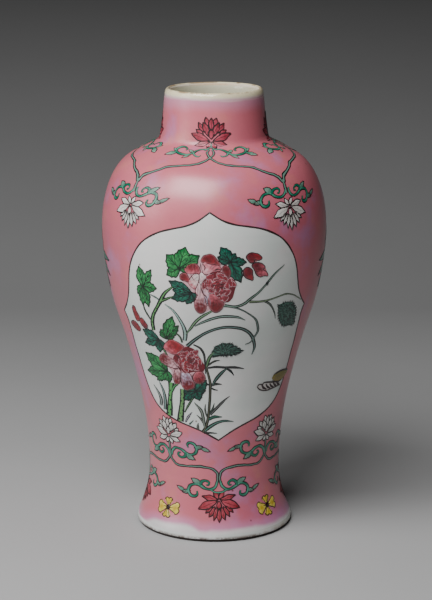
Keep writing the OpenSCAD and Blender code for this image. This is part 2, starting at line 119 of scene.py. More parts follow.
class Skin:
    """The glazed outside surface as a smooth profile, and the wrap onto it."""

    def __init__(self):
        self.bore = hit_radius(tree_of("inside_glaze"), TOP - 4, True)
        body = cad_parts["lower_body"].data.vertices
        pad = max(math.hypot(v.co.x, v.co.y) for v in body if v.co.z < 0.05 * MM) / MM
        guess = hit_radius(tree_of("outside_glaze"), TOP - 4, False)
        self.lip_z = TOP - (guess - self.bore) / 2
        rings = outer_rings(self.lip_z)
        self.lip_r = rings[-1][0]
        self.lip_z = rings[-1][1]
        line = np.array(smooth_line(rings, 12))
        run = np.concatenate([[0], np.cumsum(np.linalg.norm(np.diff(line, axis=0), axis=1))])
        self.start = math.hypot(rings[0][0] - pad, rings[0][1])
        run += self.start
        self.v = np.arange(self.start, run[-1], SKIN_STEP)
        self.r = np.interp(self.v, run, line[:, 0])
        self.z = np.interp(self.v, run, line[:, 1])
        dr, dz = np.gradient(self.r, self.v), np.gradient(self.z, self.v)
        wide = np.ones(9) / 9
        dr = np.convolve(np.pad(dr, 4, "edge"), wide, "valid")
        dz = np.convolve(np.pad(dz, 4, "edge"), wide, "valid")
        size = np.hypot(dr, dz)
        self.nr, self.nz = dz / size, -dr / size

    def radius(self, v):
        return float(np.interp(v, self.v, self.r))

    def place(self, u, v, lift, turn=0.0):
        """Wraps arrays of u and v, lifted off the glaze by lift, all in mm."""
        r = np.interp(v, self.v, self.r)
        nr, nz = np.interp(v, self.v, self.nr), np.interp(v, self.v, self.nz)
        a = u / r + math.radians(turn)
        rr = r + lift * nr
        z = np.interp(v, self.v, self.z) + lift * nz
        return np.stack([rr * np.sin(a), -rr * np.cos(a), z], axis=1) * MM


skin = Skin()


def tone(r, g, b):
    """Linear colour from everyday 0 to 255 values."""
    def channel(c):
        c /= 255
        return c / 12.92 if c <= 0.04045 else ((c + 0.055) / 1.055) ** 2.4
    return np.array([channel(r), channel(g), channel(b)])


INK = tone(40, 20, 20)
DARK = tone(14, 30, 30)
BROWN = tone(62, 32, 30)


# ---------------------------------------------------------------- shader groups
def new_group(name, inputs, outputs):
    g = bpy.data.node_groups.new(name, "ShaderNodeTree")
    for label, kind, value in inputs:
        s = g.interface.new_socket(label, in_out="INPUT", socket_type=kind)
        if value is not None:
            s.default_value = value
    for label, kind in outputs:
        g.interface.new_socket(label, in_out="OUTPUT", socket_type=kind)
    return g, g.nodes.new("NodeGroupInput"), g.nodes.new("NodeGroupOutput")


def math_node(tree, kind, a, b, clamp=False):
    n = tree.nodes.new("ShaderNodeMath")
    n.operation = kind
    n.use_clamp = clamp
    for socket, value in zip(n.inputs, (a, b)):
        if isinstance(value, (int, float)):
            socket.default_value = value
        else:
            tree.links.new(value, socket)
    return n.outputs[0]


def span(tree, value, low, high):
    """0 below low, 1 above high, smooth between."""
    n = tree.nodes.new("ShaderNodeMapRange")
    n.interpolation_type = "SMOOTHSTEP"
    n.inputs["From Min"].default_value = low
    n.inputs["From Max"].default_value = high
    tree.links.new(value, n.inputs["Value"])
    return n.outputs["Result"]


def blend_colours(tree, factor, a, b, kind="MIX"):
    n = tree.nodes.new("ShaderNodeMix")
    n.data_type = "RGBA"
    n.blend_type = kind
    for socket, value in ((n.inputs[0], factor), (n.inputs[6], a), (n.inputs[7], b)):
        if isinstance(value, (int, float)):
            socket.default_value = value
        elif isinstance(value, (tuple, np.ndarray)):
            socket.default_value = (*[float(x) for x in value][:3], 1.0)
        else:
            tree.links.new(value, socket)
    return n.outputs[2]


def noise_node(tree, where, scale, detail=4.0, rough=0.55):
    n = tree.nodes.new("ShaderNodeTexNoise")
    tree.links.new(where, n.inputs["Vector"])
    n.inputs["Scale"].default_value = scale
    n.inputs["Detail"].default_value = detail
    n.inputs["Roughness"].default_value = rough
    return n


def brushed_group():
    """Uneven enamel: a slow wash, brush streaks and fine grain, as one multiplier."""
    g, i, o = new_group("Brushed enamel", [
        ("Vector", "NodeSocketVector", None), ("Wash", "NodeSocketFloat", 0.25),
        ("Streaks", "NodeSocketFloat", 0.2)],
        [("Shade", "NodeSocketFloat"), ("Height", "NodeSocketFloat"), ("Pits", "NodeSocketFloat")])
    wash = noise_node(g, i.outputs["Vector"], 42.0, 5.0, 0.6).outputs["Fac"]
    stretch = g.nodes.new("ShaderNodeMapping")
    g.links.new(i.outputs["Vector"], stretch.inputs["Vector"])
    stretch.inputs["Scale"].default_value = (260.0, 260.0, 900.0)
    streak = noise_node(g, stretch.outputs[0], 1.0, 3.0, 0.5).outputs["Fac"]
    a = math_node(g, "MULTIPLY", math_node(g, "SUBTRACT", wash, 0.5), i.outputs["Wash"])
    b = math_node(g, "MULTIPLY", math_node(g, "SUBTRACT", streak, 0.5), i.outputs["Streaks"])
    g.links.new(math_node(g, "ADD", math_node(g, "ADD", a, b), 1.0), o.inputs["Shade"])
    peel = noise_node(g, i.outputs["Vector"], 520.0, 2.0, 0.5).outputs["Fac"]
    slow = noise_node(g, i.outputs["Vector"], 90.0, 2.0, 0.5).outputs["Fac"]
    g.links.new(math_node(g, "ADD", math_node(g, "MULTIPLY", peel, 0.35), slow), o.inputs["Height"])
    cells = g.nodes.new("ShaderNodeTexVoronoi")
    g.links.new(i.outputs["Vector"], cells.inputs["Vector"])
    cells.inputs["Scale"].default_value = 330.0
    pit = span(g, cells.outputs["Distance"], 0.05, 0.11)
    rare = span(g, noise_node(g, i.outputs["Vector"], 70.0).outputs["Fac"], 0.62, 0.5)
    g.links.new(math_node(g, "MAXIMUM", pit, rare), o.inputs["Pits"])
    return g


def specks_group():
    """Kiln specks: small dark iron spots scattered thinly in the glaze."""
    g, i, o = new_group("Kiln specks", [
        ("Vector", "NodeSocketVector", None), ("Density", "NodeSocketFloat", 0.5)],
        [("Speck", "NodeSocketFloat"), ("Stain", "NodeSocketFloat")])
    cells = g.nodes.new("ShaderNodeTexVoronoi")
    g.links.new(i.outputs["Vector"], cells.inputs["Vector"])
    cells.inputs["Scale"].default_value = 95.0
    dot = span(g, cells.outputs["Distance"], 0.085, 0.035)
    pick = g.nodes.new("ShaderNodeSeparateColor")
    g.links.new(cells.outputs["Color"], pick.inputs[0])
    chosen = math_node(g, "LESS_THAN", pick.outputs[0], math_node(
        g, "MULTIPLY", i.outputs["Density"], 0.12))
    g.links.new(math_node(g, "MULTIPLY", dot, chosen), o.inputs["Speck"])
    stain = noise_node(g, i.outputs["Vector"], 34.0, 6.0, 0.65).outputs["Fac"]
    g.links.new(span(g, stain, 0.5, 0.75), o.inputs["Stain"])
    return g


BRUSHED = brushed_group()
SPECKS = specks_group()


class Surface:
    """A material under construction: coordinates, height and a principled shader."""

    def __init__(self, name):
        self.material = bpy.data.materials.new(name)
        self.material.use_nodes = True
        self.tree = self.material.node_tree
        self.shader = self.tree.nodes["Principled BSDF"]
        self.where = self.tree.nodes.new("ShaderNodeTexCoord").outputs["Object"]
        parts = self.tree.nodes.new("ShaderNodeSeparateXYZ")
        self.tree.links.new(self.where, parts.inputs[0])
        self.height = parts.outputs["Z"]
        self.across = parts.outputs["X"]

    def radius(self):
        flat = self.tree.nodes.new("ShaderNodeVectorMath")
        flat.operation = "MULTIPLY"
        flat.inputs[1].default_value = (1, 1, 0)
        self.tree.links.new(self.where, flat.inputs[0])
        long = self.tree.nodes.new("ShaderNodeVectorMath")
        long.operation = "LENGTH"
        self.tree.links.new(flat.outputs[0], long.inputs[0])
        return long.outputs["Value"]

    def group(self, tree, **values):
        n = self.tree.nodes.new("ShaderNodeGroup")
        n.node_tree = tree
        self.tree.links.new(self.where, n.inputs["Vector"])
        for key, value in values.items():
            n.inputs[key].default_value = value
        return n

    def colour(self, socket):
        self.tree.links.new(socket, self.shader.inputs["Base Color"])

    def gloss(self, rough, coat, coat_rough=0.06):
        if isinstance(rough, float):
            self.shader.inputs["Roughness"].default_value = rough
        else:
            self.tree.links.new(rough, self.shader.inputs["Roughness"])
        self.shader.inputs["Coat Weight"].default_value = coat
        self.shader.inputs["Coat Roughness"].default_value = coat_rough
        self.shader.inputs["IOR"].default_value = 1.5

    def bump(self, socket, distance, strength=1.0):
        n = self.tree.nodes.new("ShaderNodeBump")
        n.inputs["Distance"].default_value = distance
        n.inputs["Strength"].default_value = strength
        self.tree.links.new(socket, n.inputs["Height"])
        self.tree.links.new(n.outputs[0], self.shader.inputs["Normal"])
        self.tree.links.new(n.outputs[0], self.shader.inputs["Coat Normal"])


def clear_glaze():
    """White glaze with a faint grey-green tone: creamy and worn at the lip, blushed
    just below it, duller inside the mouth, and brown at the foot: grime with a painted contact shadow."""
    s = Surface("clear_glaze")
    t = s.tree
    spots = s.group(SPECKS, Density=0.3)
    coat = s.group(BRUSHED, Wash=0.1, Streaks=0.02)
    tint = noise_node(t, s.where, 26.0, 3.0, 0.6).outputs["Fac"]
    base = blend_colours(t, span(t, tint, 0.35, 0.65), tone(222, 221, 219), tone(212, 218, 214))
    rosy = noise_node(t, s.where, 47.0, 4.0, 0.6).outputs["Fac"]
    base = blend_colours(t, math_node(t, "MULTIPLY", span(t, rosy, 0.55, 0.75), 0.45),
                         base, tone(222, 206, 208))
    lip = span(t, s.height, (TOP - 5.0) * MM, (TOP - 1.5) * MM)
    base = blend_colours(t, lip, base, tone(226, 214, 180))
    outer = span(t, s.radius(), (skin.bore + 1.6) * MM, (skin.bore + 2.6) * MM)
    wander = noise_node(t, s.where, 60.0, 3.0, 0.5).outputs["Fac"]
    level = math_node(t, "ADD", s.height,
                      math_node(t, "MULTIPLY", math_node(t, "SUBTRACT", wander, 0.5), 0.003))
    blush = math_node(t, "MULTIPLY", outer,
                      math_node(t, "MULTIPLY", span(t, level, (TOP - 2.1) * MM, (TOP - 4.3) * MM),
                                span(t, s.height, 0.2, 0.24)))
    base = blend_colours(t, math_node(t, "MULTIPLY", blush, 0.8), base, tone(206, 154, 168))
    inner = math_node(t, "SUBTRACT", 1.0, span(t, s.radius(), (skin.bore + 0.4) * MM, (skin.bore + 1.4) * MM))
    base = blend_colours(t,
                         math_node(t, "MULTIPLY", inner, span(t, s.height, (TOP - 60) * MM, (TOP - 10) * MM)),
                         base, tone(196, 192, 168))
    crest = span(t, s.height, (TOP - 1.1) * MM, (TOP - 0.15) * MM)
    worn = noise_node(t, s.where, 130.0, 6.0, 0.7).outputs["Fac"]
    edge = math_node(t, "MULTIPLY", crest, span(t, worn, 0.42, 0.6))
    base = blend_colours(t, math_node(t, "MULTIPLY", edge, 0.85), base, tone(132, 100, 62))
    # painted contact shadow: the glaze just above the foot is darkened brown, partly grime and partly a
    # painted shadow where the vase meets the floor
    foot = math_node(t, "MULTIPLY", span(t, s.height, 0.0038, 0.002), span(t, worn, 0.4, 0.56))
    base = blend_colours(t, math_node(t, "MULTIPLY", foot, 0.8), base, tone(104, 76, 62))
    near_lip = span(t, s.height, (TOP - 26) * MM, (TOP - 2) * MM)
    near_ends = math_node(t, "MAXIMUM", near_lip, span(t, s.height, 0.009, 0.002))
    stain = math_node(t, "MULTIPLY", spots.outputs["Stain"], math_node(t, "MULTIPLY", near_ends, 0.6))
    base = blend_colours(t, stain, base, tone(178, 154, 112))
    base = blend_colours(t, math_node(t, "MULTIPLY", spots.outputs["Speck"], 0.75), base, tone(104, 84, 64))
    shade = t.nodes.new("ShaderNodeVectorMath")
    shade.operation = "SCALE"
    t.links.new(base, shade.inputs[0])
    t.links.new(coat.outputs["Shade"], shade.inputs["Scale"])
    s.colour(shade.outputs[0])
    s.gloss(math_node(t, "ADD", math_node(t, "MULTIPLY", edge, 0.35), 0.2), 0.35)
    s.bump(coat.outputs["Height"], 0.00004, 0.7)
    return s.material


def rose_enamel():
    """Rose ground: mottled towards lilac and salmon, thinning to white at both ends,
    and furthest up on the left of the foot."""
    s = Surface("rose_enamel")
    t = s.tree
    coat = s.group(BRUSHED, Wash=0.16, Streaks=0.05)
    spots = s.group(SPECKS, Density=0.6)
    cloud = noise_node(t, s.where, 17.0, 3.0, 0.6).outputs["Fac"]
    base = blend_colours(t, span(t, cloud, 0.3, 0.7), tone(208, 113, 125), tone(196, 101, 118))
    lilac = noise_node(t, s.where, 34.0, 4.0, 0.55)
    mask = span(t, lilac.outputs["Fac"], 0.52, 0.72)
    base = blend_colours(t, math_node(t, "MULTIPLY", mask, 0.6), base, tone(182, 130, 174))
    warm = noise_node(t, s.where, 58.0, 3.0, 0.5).outputs["Fac"]
    base = blend_colours(t, math_node(t, "MULTIPLY", span(t, warm, 0.55, 0.8), 0.45),
                         base, tone(212, 132, 112))
    edge = noise_node(t, s.where, 48.0, 3.0, 0.5).outputs["Fac"]
    wander = math_node(t, "MULTIPLY", math_node(t, "SUBTRACT", edge, 0.5), 0.005)
    level = math_node(t, "ADD", s.height, wander)
    high = span(t, level, (TOP - 13) * MM, (TOP - 4.5) * MM)
    base = blend_colours(t, math_node(t, "MULTIPLY", high, 0.6), base, tone(200, 152, 178))
    rim = span(t, level, (TOP - 5.4) * MM, (TOP - 3.4) * MM)
    base = blend_colours(t, math_node(t, "MULTIPLY", rim, 0.8), base, tone(218, 196, 188))
    broad = noise_node(t, s.where, 15.0, 2.0, 0.5).outputs["Fac"]
    foot_level = math_node(t, "ADD", level,
                           math_node(t, "MULTIPLY", math_node(t, "SUBTRACT", 0.5, broad), 0.008))
    x = s.across
    thin = math_node(t, "MULTIPLY", span(t, x, -0.006, -0.018), span(t, x, -0.042, -0.034))
    foot_level = math_node(t, "SUBTRACT", foot_level, math_node(t, "MULTIPLY", thin, 0.0024))
    low = span(t, foot_level, 0.013, 0.006)
    base = blend_colours(t, math_node(t, "MULTIPLY", low, 0.65), base, tone(204, 142, 182))
    foot = span(t, foot_level, 0.0076, 0.0044)
    base = blend_colours(t, foot, base, tone(216, 211, 211))
    base = blend_colours(t, math_node(t, "MULTIPLY", spots.outputs["Speck"], 0.8),
                         base, tone(96, 40, 40))
    shade = t.nodes.new("ShaderNodeVectorMath")
    shade.operation = "SCALE"
    t.links.new(base, shade.inputs[0])
    t.links.new(coat.outputs["Shade"], shade.inputs["Scale"])
    s.colour(shade.outputs[0])
    s.gloss(0.34, 0.5, 0.28)
    s.bump(coat.outputs["Height"], 0.00006, 0.8)
    return s.material


def painted_enamel(name, wash, streaks, rough, ink_rough=0.5, coat_weight=0.25):
    """Raised enamel: its colours are painted into the mesh, ink marked as line."""
    s = Surface(name)
    t = s.tree
    coat = s.group(BRUSHED, Wash=wash, Streaks=streaks)
    paint = t.nodes.new("ShaderNodeAttribute")
    paint.attribute_name = "paint"
    line = t.nodes.new("ShaderNodeAttribute")
    line.attribute_name = "line"
    shade = t.nodes.new("ShaderNodeVectorMath")
    shade.operation = "SCALE"
    t.links.new(paint.outputs["Color"], shade.inputs[0])
    t.links.new(coat.outputs["Shade"], shade.inputs["Scale"])
    s.colour(shade.outputs[0])
    pitted = math_node(t, "MULTIPLY", math_node(t, "SUBTRACT", 1.0, coat.outputs["Pits"]), 0.25)
    s.gloss(math_node(t, "ADD", pitted, math_node(t, "ADD", rough, math_node(
        t, "MULTIPLY", line.outputs["Fac"], ink_rough - rough))), coat_weight, 0.1)
    s.bump(math_node(t, "ADD", coat.outputs["Height"], coat.outputs["Pits"]), 0.00005, 0.8)
    return s.material


def biscuit(name, warm):
    """Unglazed paste: fine grain, firing blush and dust in the hollows, and a near-black foot edge that is
    soot with a painted contact shadow.
    """
    s = Surface(name)
    t = s.tree
    blush = noise_node(t, s.where, 36.0, 5.0, 0.6).outputs["Fac"]
    base = blend_colours(t, span(t, blush, 0.35, 0.7), tone(214, 206, 190), warm)
    dust = noise_node(t, s.where, 240.0, 5.0, 0.7).outputs["Fac"]
    base = blend_colours(t, math_node(t, "MULTIPLY", span(t, dust, 0.5, 0.8), 0.6),
                         base, tone(120, 104, 84))
    # painted contact shadow: the bare edge of the foot is painted near-black, partly soot and partly the
    # shadow where the foot meets the floor
    soot_and_contact_shade = noise_node(t, s.where, 60.0, 4.0, 0.6).outputs["Fac"]
    worn = math_node(t, "MULTIPLY", span(t, s.height, 0.0034, 0.0016), span(t, soot_and_contact_shade, 0.05, 0.3))
    base = blend_colours(t, worn, base, tone(44, 31, 25))
    s.colour(base)
    s.gloss(0.72, 0.0)
    grain = noise_node(t, s.where, 1400.0, 4.0, 0.7).outputs["Fac"]
    s.bump(math_node(t, "ADD", grain, dust), 0.0001, 0.6)
    return s.material


# ---------------------------------------------------------------- painting tools
class Sheet:
    """Collects painted shapes in skin coordinates and turns them into one mesh."""

    def __init__(self):
        self.u, self.v, self.lift, self.paint, self.line, self.faces = [], [], [], [], [], []

    def add(self, us, vs, lifts, paints, lines, faces):
        n = len(self.u)
        self.u.extend(us)
        self.v.extend(vs)
        self.lift.extend(lifts)
        self.paint.extend(paints)
        self.line.extend(lines)
        self.faces.extend([tuple(n + k for k in f) for f in faces])

    def strip(self, path, widths, profile, lift, spacing=0.7, closed=False):
        """Sweeps a cross-section along a smooth line. profile holds
        (place across from -1 to 1, rise, colour, line) for each point."""
        pts = resample(smooth_line(path, 12, closed), spacing, closed)
        n = len(pts)
        share = np.linspace(0, 1, n)
        width = np.interp(share, np.linspace(0, 1, len(widths)), widths) / 2
        if closed:
            ahead, behind = np.roll(pts, -1, 0), np.roll(pts, 1, 0)
        else:
            ahead, behind = np.vstack([pts[1:], pts[-1:]]), np.vstack([pts[:1], pts[:-1]])
        way = ahead - behind
        way /= np.maximum(np.linalg.norm(way, axis=1), 1e-6)[:, None]
        side = np.stack([way[:, 1], -way[:, 0]], axis=1)
        k = len(profile)
        us, vs, lifts, paints, lines = [], [], [], [], []
        for i in range(n):
            for across, rise, colour, ink in profile:
                p = pts[i] + side[i] * across * width[i]
                us.append(p[0])
                vs.append(p[1])
                thin = min(1.0, width[i] / 0.3)
                lifts.append(lift + rise * thin)
                paints.append(colour(share[i]) if callable(colour) else colour)
                lines.append(ink)
        faces = []
        for i in range(n if closed else n - 1):
            j = (i + 1) % n
            for c in range(k - 1):
                faces.append((i * k + c, i * k + c + 1, j * k + c + 1, j * k + c))
        self.add(us, vs, lifts, paints, lines, faces)

    def ink(self, path, widths, lift=0.2, colour=INK, closed=False, spacing=0.6):
        self.strip(path, widths, [(-1, 0, colour, 1.0), (0, 0.07, colour, 1.0), (1, 0, colour, 1.0)],
                   lift, spacing, closed)

    def outlined(self, path, widths, fill, lift=0.1, edge=DARK, edge_w=0.34):
        """A coloured stroke with a drawn line down each side."""
        e = 1 - 2 * edge_w / max(max(widths), 0.9)
        e = min(max(e, 0.25), 0.85)
        self.strip(path, widths, [
            (-1, 0, edge, 1.0), (-e, 0.07, edge, 1.0), (-e + 0.12, 0.1, fill, 0.0), (0, 0.16, fill, 0.0),
            (e - 0.12, 0.1, fill, 0.0), (e, 0.07, edge, 1.0), (1, 0, edge, 1.0)], lift)

    def patch(self, outline, paint, lift=0.08, dome=0.14, spacing=0.75):
        """Fills an outline with enamel that swells up from its edge."""
        edge = np.array(outline)
        low, high = edge.min(0), edge.max(0)
        inner = []
        row = 0
        y = low[1] + spacing / 2
        while y < high[1]:
            x = low[0] + (spacing / 2 if row % 2 else spacing)
            while x < high[0]:
                if inside(edge, x, y):
                    inner.append((x, y))
                x += spacing
            y += spacing * 0.87
            row += 1
        inner = np.array(inner).reshape(-1, 2)
        if len(inner):
            inner = inner[edge_distance(edge, inner) > spacing * 0.42]
        points = np.vstack([edge, inner])
        n = len(edge)
        made = geometry.delaunay_2d_cdt(
            [Vector(p) for p in points], [], [list(range(n))], 1, 1e-5, False)
        verts = np.array([(p.x, p.y) for p in made[0]])
        off = edge_distance(edge, verts)
        rise = lift + dome * (1 - np.exp(-off / 0.55))
        colours = [paint(p[0], p[1], d) for p, d in zip(verts, off)]
        faces = [f for f in made[2] if len(f) > 2]
        self.add(verts[:, 0], verts[:, 1], rise, colours, [0.0] * len(verts), faces)

    def build(self, name, turn=0.0, mirror=False, wander=0.0):
        u, v = np.array(self.u), np.array(self.v)
        if wander:
            u = u + wander * np.array([noise.noise(Vector((a * 0.35, b * 0.35, 3.1))) for a, b in zip(u, v)])
            v = v + wander * np.array([noise.noise(Vector((a * 0.35, b * 0.35, 8.7))) for a, b in zip(u, v)])
        if mirror:
            u = -u
        co = skin.place(u, v, np.array(self.lift), turn)
        mesh = bpy.data.meshes.new(name)
        mesh.from_pydata([tuple(c) for c in co], [], self.faces)
        paint = mesh.attributes.new("paint", "FLOAT_COLOR", "POINT")
        rgba = np.ones((len(u), 4), np.float32)
        rgba[:, :3] = np.array(self.paint)
        paint.data.foreach_set("color", rgba.ravel())
        line = mesh.attributes.new("line", "FLOAT", "POINT")
        line.data.foreach_set("value", np.array(self.line, np.float32))
        face_outwards(mesh)
        obj = bpy.data.objects.new(name, mesh)
        bpy.context.scene.collection.objects.link(obj)
        return obj


def face_outwards(mesh, inwards=False):
    """Turns every face so that its front looks away from the vase's wall."""
    b = bmesh.new()
    b.from_mesh(mesh)
    b.normal_update()
    for f in b.faces:
        c = f.calc_center_median()
        r = math.hypot(c.x, c.y)
        v = np.interp(c.z / MM, skin.z, np.arange(len(skin.z)))
        k = int(round(float(v)))
        out = Vector((c.x / max(r, 1e-9) * skin.nr[k], c.y / max(r, 1e-9) * skin.nr[k], skin.nz[k]))
        if (f.normal.dot(out) < 0) != inwards:
            f.normal_flip()
        f.smooth = True
    b.to_mesh(mesh)
    b.free()


def resample(points, spacing, closed=False):
    pts = np.array(points)
    if closed:
        pts = np.vstack([pts, pts[:1]])
    run = np.concatenate([[0], np.cumsum(np.linalg.norm(np.diff(pts, axis=0), axis=1))])
    n = max(3, int(run[-1] / spacing) + 1)
    at = np.linspace(0, run[-1], n + 1 if closed else n)
    out = np.stack([np.interp(at, run, pts[:, 0]), np.interp(at, run, pts[:, 1])], axis=1)
    return out[:-1] if closed else out


def inside(edge, x, y):
    a, b = edge, np.roll(edge, -1, 0)
    cross = (a[:, 1] > y) != (b[:, 1] > y)
    with np.errstate(divide="ignore", invalid="ignore"):
        at = a[:, 0] + (y - a[:, 1]) * (b[:, 0] - a[:, 0]) / (b[:, 1] - a[:, 1])
    return bool(np.count_nonzero(cross & (x < at)) % 2)


def edge_distance(edge, points):
    a, b = edge, np.roll(edge, -1, 0)
    ab = b - a
    ap = points[:, None, :] - a[None]
    t = np.clip((ap * ab).sum(2) / np.maximum((ab * ab).sum(1), 1e-9), 0, 1)
    return np.linalg.norm(ap - t[..., None] * ab, axis=2).min(1)


def loop(points, spacing=0.7):
    """A closed outline through points; a third value of 1 marks a sharp corner."""
    corners = [i for i, p in enumerate(points) if len(p) > 2]
    if not corners:
        return resample(smooth_line([p[:2] for p in points], 8, True), spacing, True)
    n = len(points)
    out = []
    for a, b in zip(corners, corners[1:] + [corners[0] + n]):
        run = [points[i % n][:2] for i in range(a, b + 1)]
        out.extend(resample(smooth_line(run, 8), spacing)[:-1])
    return np.array(out)


def petal(x, y, length, width, turn, fat=0.55, tip=0.0):
    """A petal from (x, y), turned clockwise from straight up; fat places its widest
    point along its length and tip sharpens its end."""
    shape = [(0, 0), (0.3, fat * 0.4), (0.5, fat), (0.36 - 0.12 * tip, 0.5 + fat * 0.55), (0, 1)]
    return spread(x, y, length, width, turn, [(*shape[0], 1)] + shape[1:-1] + [(*shape[-1], 1)])


def lobe(x, y, tip, width):
    """A toothed leaf lobe that runs from the leaf's heart to a tip."""
    length = math.hypot(tip[0] - x, tip[1] - y)
    turn = math.degrees(math.atan2(tip[0] - x, tip[1] - y))
    half = [(0, 0, 1), (0.24, 0.16), (0.4, 0.34), (0.5, 0.5), (0.47, 0.6, 1), (0.36, 0.66), (0.36, 0.78, 1),
            (0.2, 0.84), (0, 1, 1)]
    return spread(x, y, length, width, turn, half)


def spread(x, y, length, width, turn, half):
    """Mirrors the half outline of a petal, sizes it, turns it and moves it."""
    both = list(half) + [(-p[0], *p[1:]) for p in half[-2:0:-1]]
    c, s = math.cos(math.radians(turn)), math.sin(math.radians(turn))
    out = []
    for p in both:
        a, b = p[0] * width, p[1] * length
        out.append((x + a * c + b * s, y - a * s + b * c, *p[2:]))
    return out


def toward(base, tip, near, far, power=1.0, rough=0.12):
    """Paint that runs from one colour at base to another at tip, with brush noise."""
    base, tip = np.array(base, float), np.array(tip, float)
    way = tip - base
    size = float((way * way).sum())

    def paint(x, y, off):
        t = ((x - base[0]) * way[0] + (y - base[1]) * way[1]) / size
        t += rough * 2 * noise.noise(Vector((x * 0.8, y * 0.8, 1.7)))
        t = min(max(t, 0.0), 1.0) ** power
        return near * (1 - t) + far * t
    return paint


def streaked(centre, light, dark, edge=None, count=9):
    """Leaf paint: light and dark strokes that spread from the leaf's heart."""
    edge = dark if edge is None else edge

    def paint(x, y, off):
        a = math.atan2(y - centre[1], x - centre[0])
        d = math.hypot(x - centre[0], y - centre[1])
        t = 0.5 + 0.42 * math.sin(a * count + 1.3 * noise.noise(Vector((x * 0.5, y * 0.5, 0))) * 3)
        t += 0.35 * noise.noise(Vector((x * 0.9, y * 0.9, 5)))
        t *= min(1.0, 0.35 + d / 9)
        t = min(max(t, 0.0), 1.0)
        c = dark * (1 - t) + light * t
        k = math.exp(-off / 0.8) * 0.8
        return c * (1 - k) + edge * 0.6 * k
    return paint


# ---------------------------------------------------------------- panel painting
GREEN, LEAF = tone(4, 96, 46), tone(56, 160, 84)
DEEP, TEAL = tone(2, 58, 50), tone(20, 128, 100)
CRIMSON, SCARLET = tone(112, 8, 22), tone(150, 24, 34)
PINK, PALE, LILAC = tone(202, 98, 112), tone(226, 176, 184), tone(204, 190, 214)
HEART, HEART_LIGHT = tone(112, 16, 32), tone(180, 74, 90)
SEA, MOSS = tone(112, 156, 142), tone(88, 124, 84)


def panel_outline():
    """The ogee-shouldered panel, leaning a little as it was drawn."""
    half = [[(0, 70.5, 1), (7, 65.8), (14, 63.1), (21, 61.6), (29, 59.6), (36, 56.6), (42, 52.8), (47, 47.5),
             (51, 41), (53.3, 34), (54.5, 26), (55.8, 19.5), (58.6, 13.6)],
            [(62.6, 8.6, 1), (59.6, 3), (57.6, -6), (56, -14), (53.8, -21.5), (50.9, -31), (46.5, -41.5),
             (41, -49.5), (34, -55), (25.5, -59), (15.5, -62.5), (9, -65.3), (3.6, -68.6)]]
    right = half[0] + half[1]
    left = [(0, -71, 1)] + [(-p[0], *p[1:]) for p in (half[1][:0:-1] + [half[1][0]] + half[0][:0:-1])]
    c, s = math.cos(math.radians(2)), math.sin(math.radians(2))
    points = [(p[0] * c - p[1] * s, 133 + p[0] * s + p[1] * c, *p[2:]) for p in right + left]
    return loop(points, 0.9)


OUTLINE = panel_outline()


def border_sheet():
    s = Sheet()
    run = [tuple(p) for p in OUTLINE]
    widths = [0.95 + 0.3 * noise.noise(Vector((i * 0.11, 0, 4))) for i in range(len(run))]
    s.strip(run, widths, [(-1, 0.0, BROWN, 1.0), (-0.45, 0.07, INK, 1.0), (0.45, 0.07, INK, 1.0),
                          (1, 0.0, BROWN, 1.0)], 0.1, 0.8, True)
    return s


LEAVES = [
    # the leaf's heart, its light and dark greens, its lobes as tip and width
    ((-19.8, 171.6), LEAF, GREEN,
     [((-27.4, 167), 7.4), ((-27.4, 179), 9), ((-13.2, 172.6), 6), ((-8, 179.5), 8.6),
      ((-16, 184), 9.6)]),
    ((9, 175.8), TEAL, DEEP, [((15.2, 163.4), 7.6), ((1.8, 178.8), 6), ((18.4, 175.2), 5.4), ((12, 180.6), 5),
                              ((3.6, 184.3), 7)]),
    ((-12.8, 157), TEAL, DEEP,
     [((-15.6, 150.4), 6.4), ((-24.6, 153), 7), ((-26.2, 163.8), 6.6), ((-24, 158.6), 6.4),
      ((-10.4, 153), 5)]),
    ((-43.3, 158.4), LEAF, GREEN,
     [((-48, 153), 6), ((-39.6, 145.8), 6), ((-44.2, 146.4), 6.4), ((-37.4, 169.2), 5.6),
      ((-33.8, 158.2), 6.4), ((-46.4, 170.2), 7.2)]),
    ((-28.6, 127), LEAF, GREEN,
     [((-32, 132.6), 5.6), ((-22.6, 130), 4.6), ((-20.4, 136.4), 6), ((-24.2, 142), 8)]),
    ((-33.6, 125), TEAL, DEEP,
     [((-36, 119.6), 5), ((-44.6, 121), 6.4), ((-45.8, 130), 6.8), ((-30.2, 119), 5),
      ((-33, 116.6), 6)]),
    ((-29, 104.6), LEAF, GREEN, [((-27, 97), 6), ((-36.4, 97), 7), ((-44.8, 101.8), 8), ((-33.5, 109.6), 6),
                                 ((-45.2, 114.2), 9)]),
    ((-10.4, 93.6), TEAL, DEEP, [((-8.4, 87.4), 5.6), ((-18, 86.8), 5.6), ((-19, 92.2), 5), ((-4.8, 94), 5),
                                 ((-4.4, 101), 6.6)]),
]


def leaf_sheet():
    s = Sheet()
    for heart, light, dark, lobes in LEAVES:
        deep = dark * 0.12
        for k, (tip, width) in enumerate(lobes):
            way = np.array(tip) - np.array(heart)
            way /= np.linalg.norm(way)
            start = np.array(heart) - way * 0.8
            rise = 0.045 + 0.008 * k
            edge = loop(lobe(*start, tip, width), 0.55)
            s.patch(edge, streaked(heart, light, dark, None, 7), rise, 0.11, 0.6)
            s.ink([tuple(p) for p in edge], [0.6, 0.46, 0.7, 0.5], rise + 0.05, deep, True, 0.5)
            across = np.array([-way[1], way[0]]) * width * 0.26
            s.ink([heart, (np.array(heart) + tip) / 2, tip], [0.6, 0.46, 0.14], rise + 0.13, deep)
            for side in (-1, 1):
                for at, far in ((0.25, 0.56), (0.5, 0.78)):
                    a = np.array(heart) * (1 - at) + np.array(tip) * at
                    b = np.array(heart) * (1 - far) + np.array(tip) * far + across * side
                    s.ink([a, (a + b) / 2 + way * 0.15, b], [0.14, 0.36, 0.1], rise + 0.13, deep)
    return s


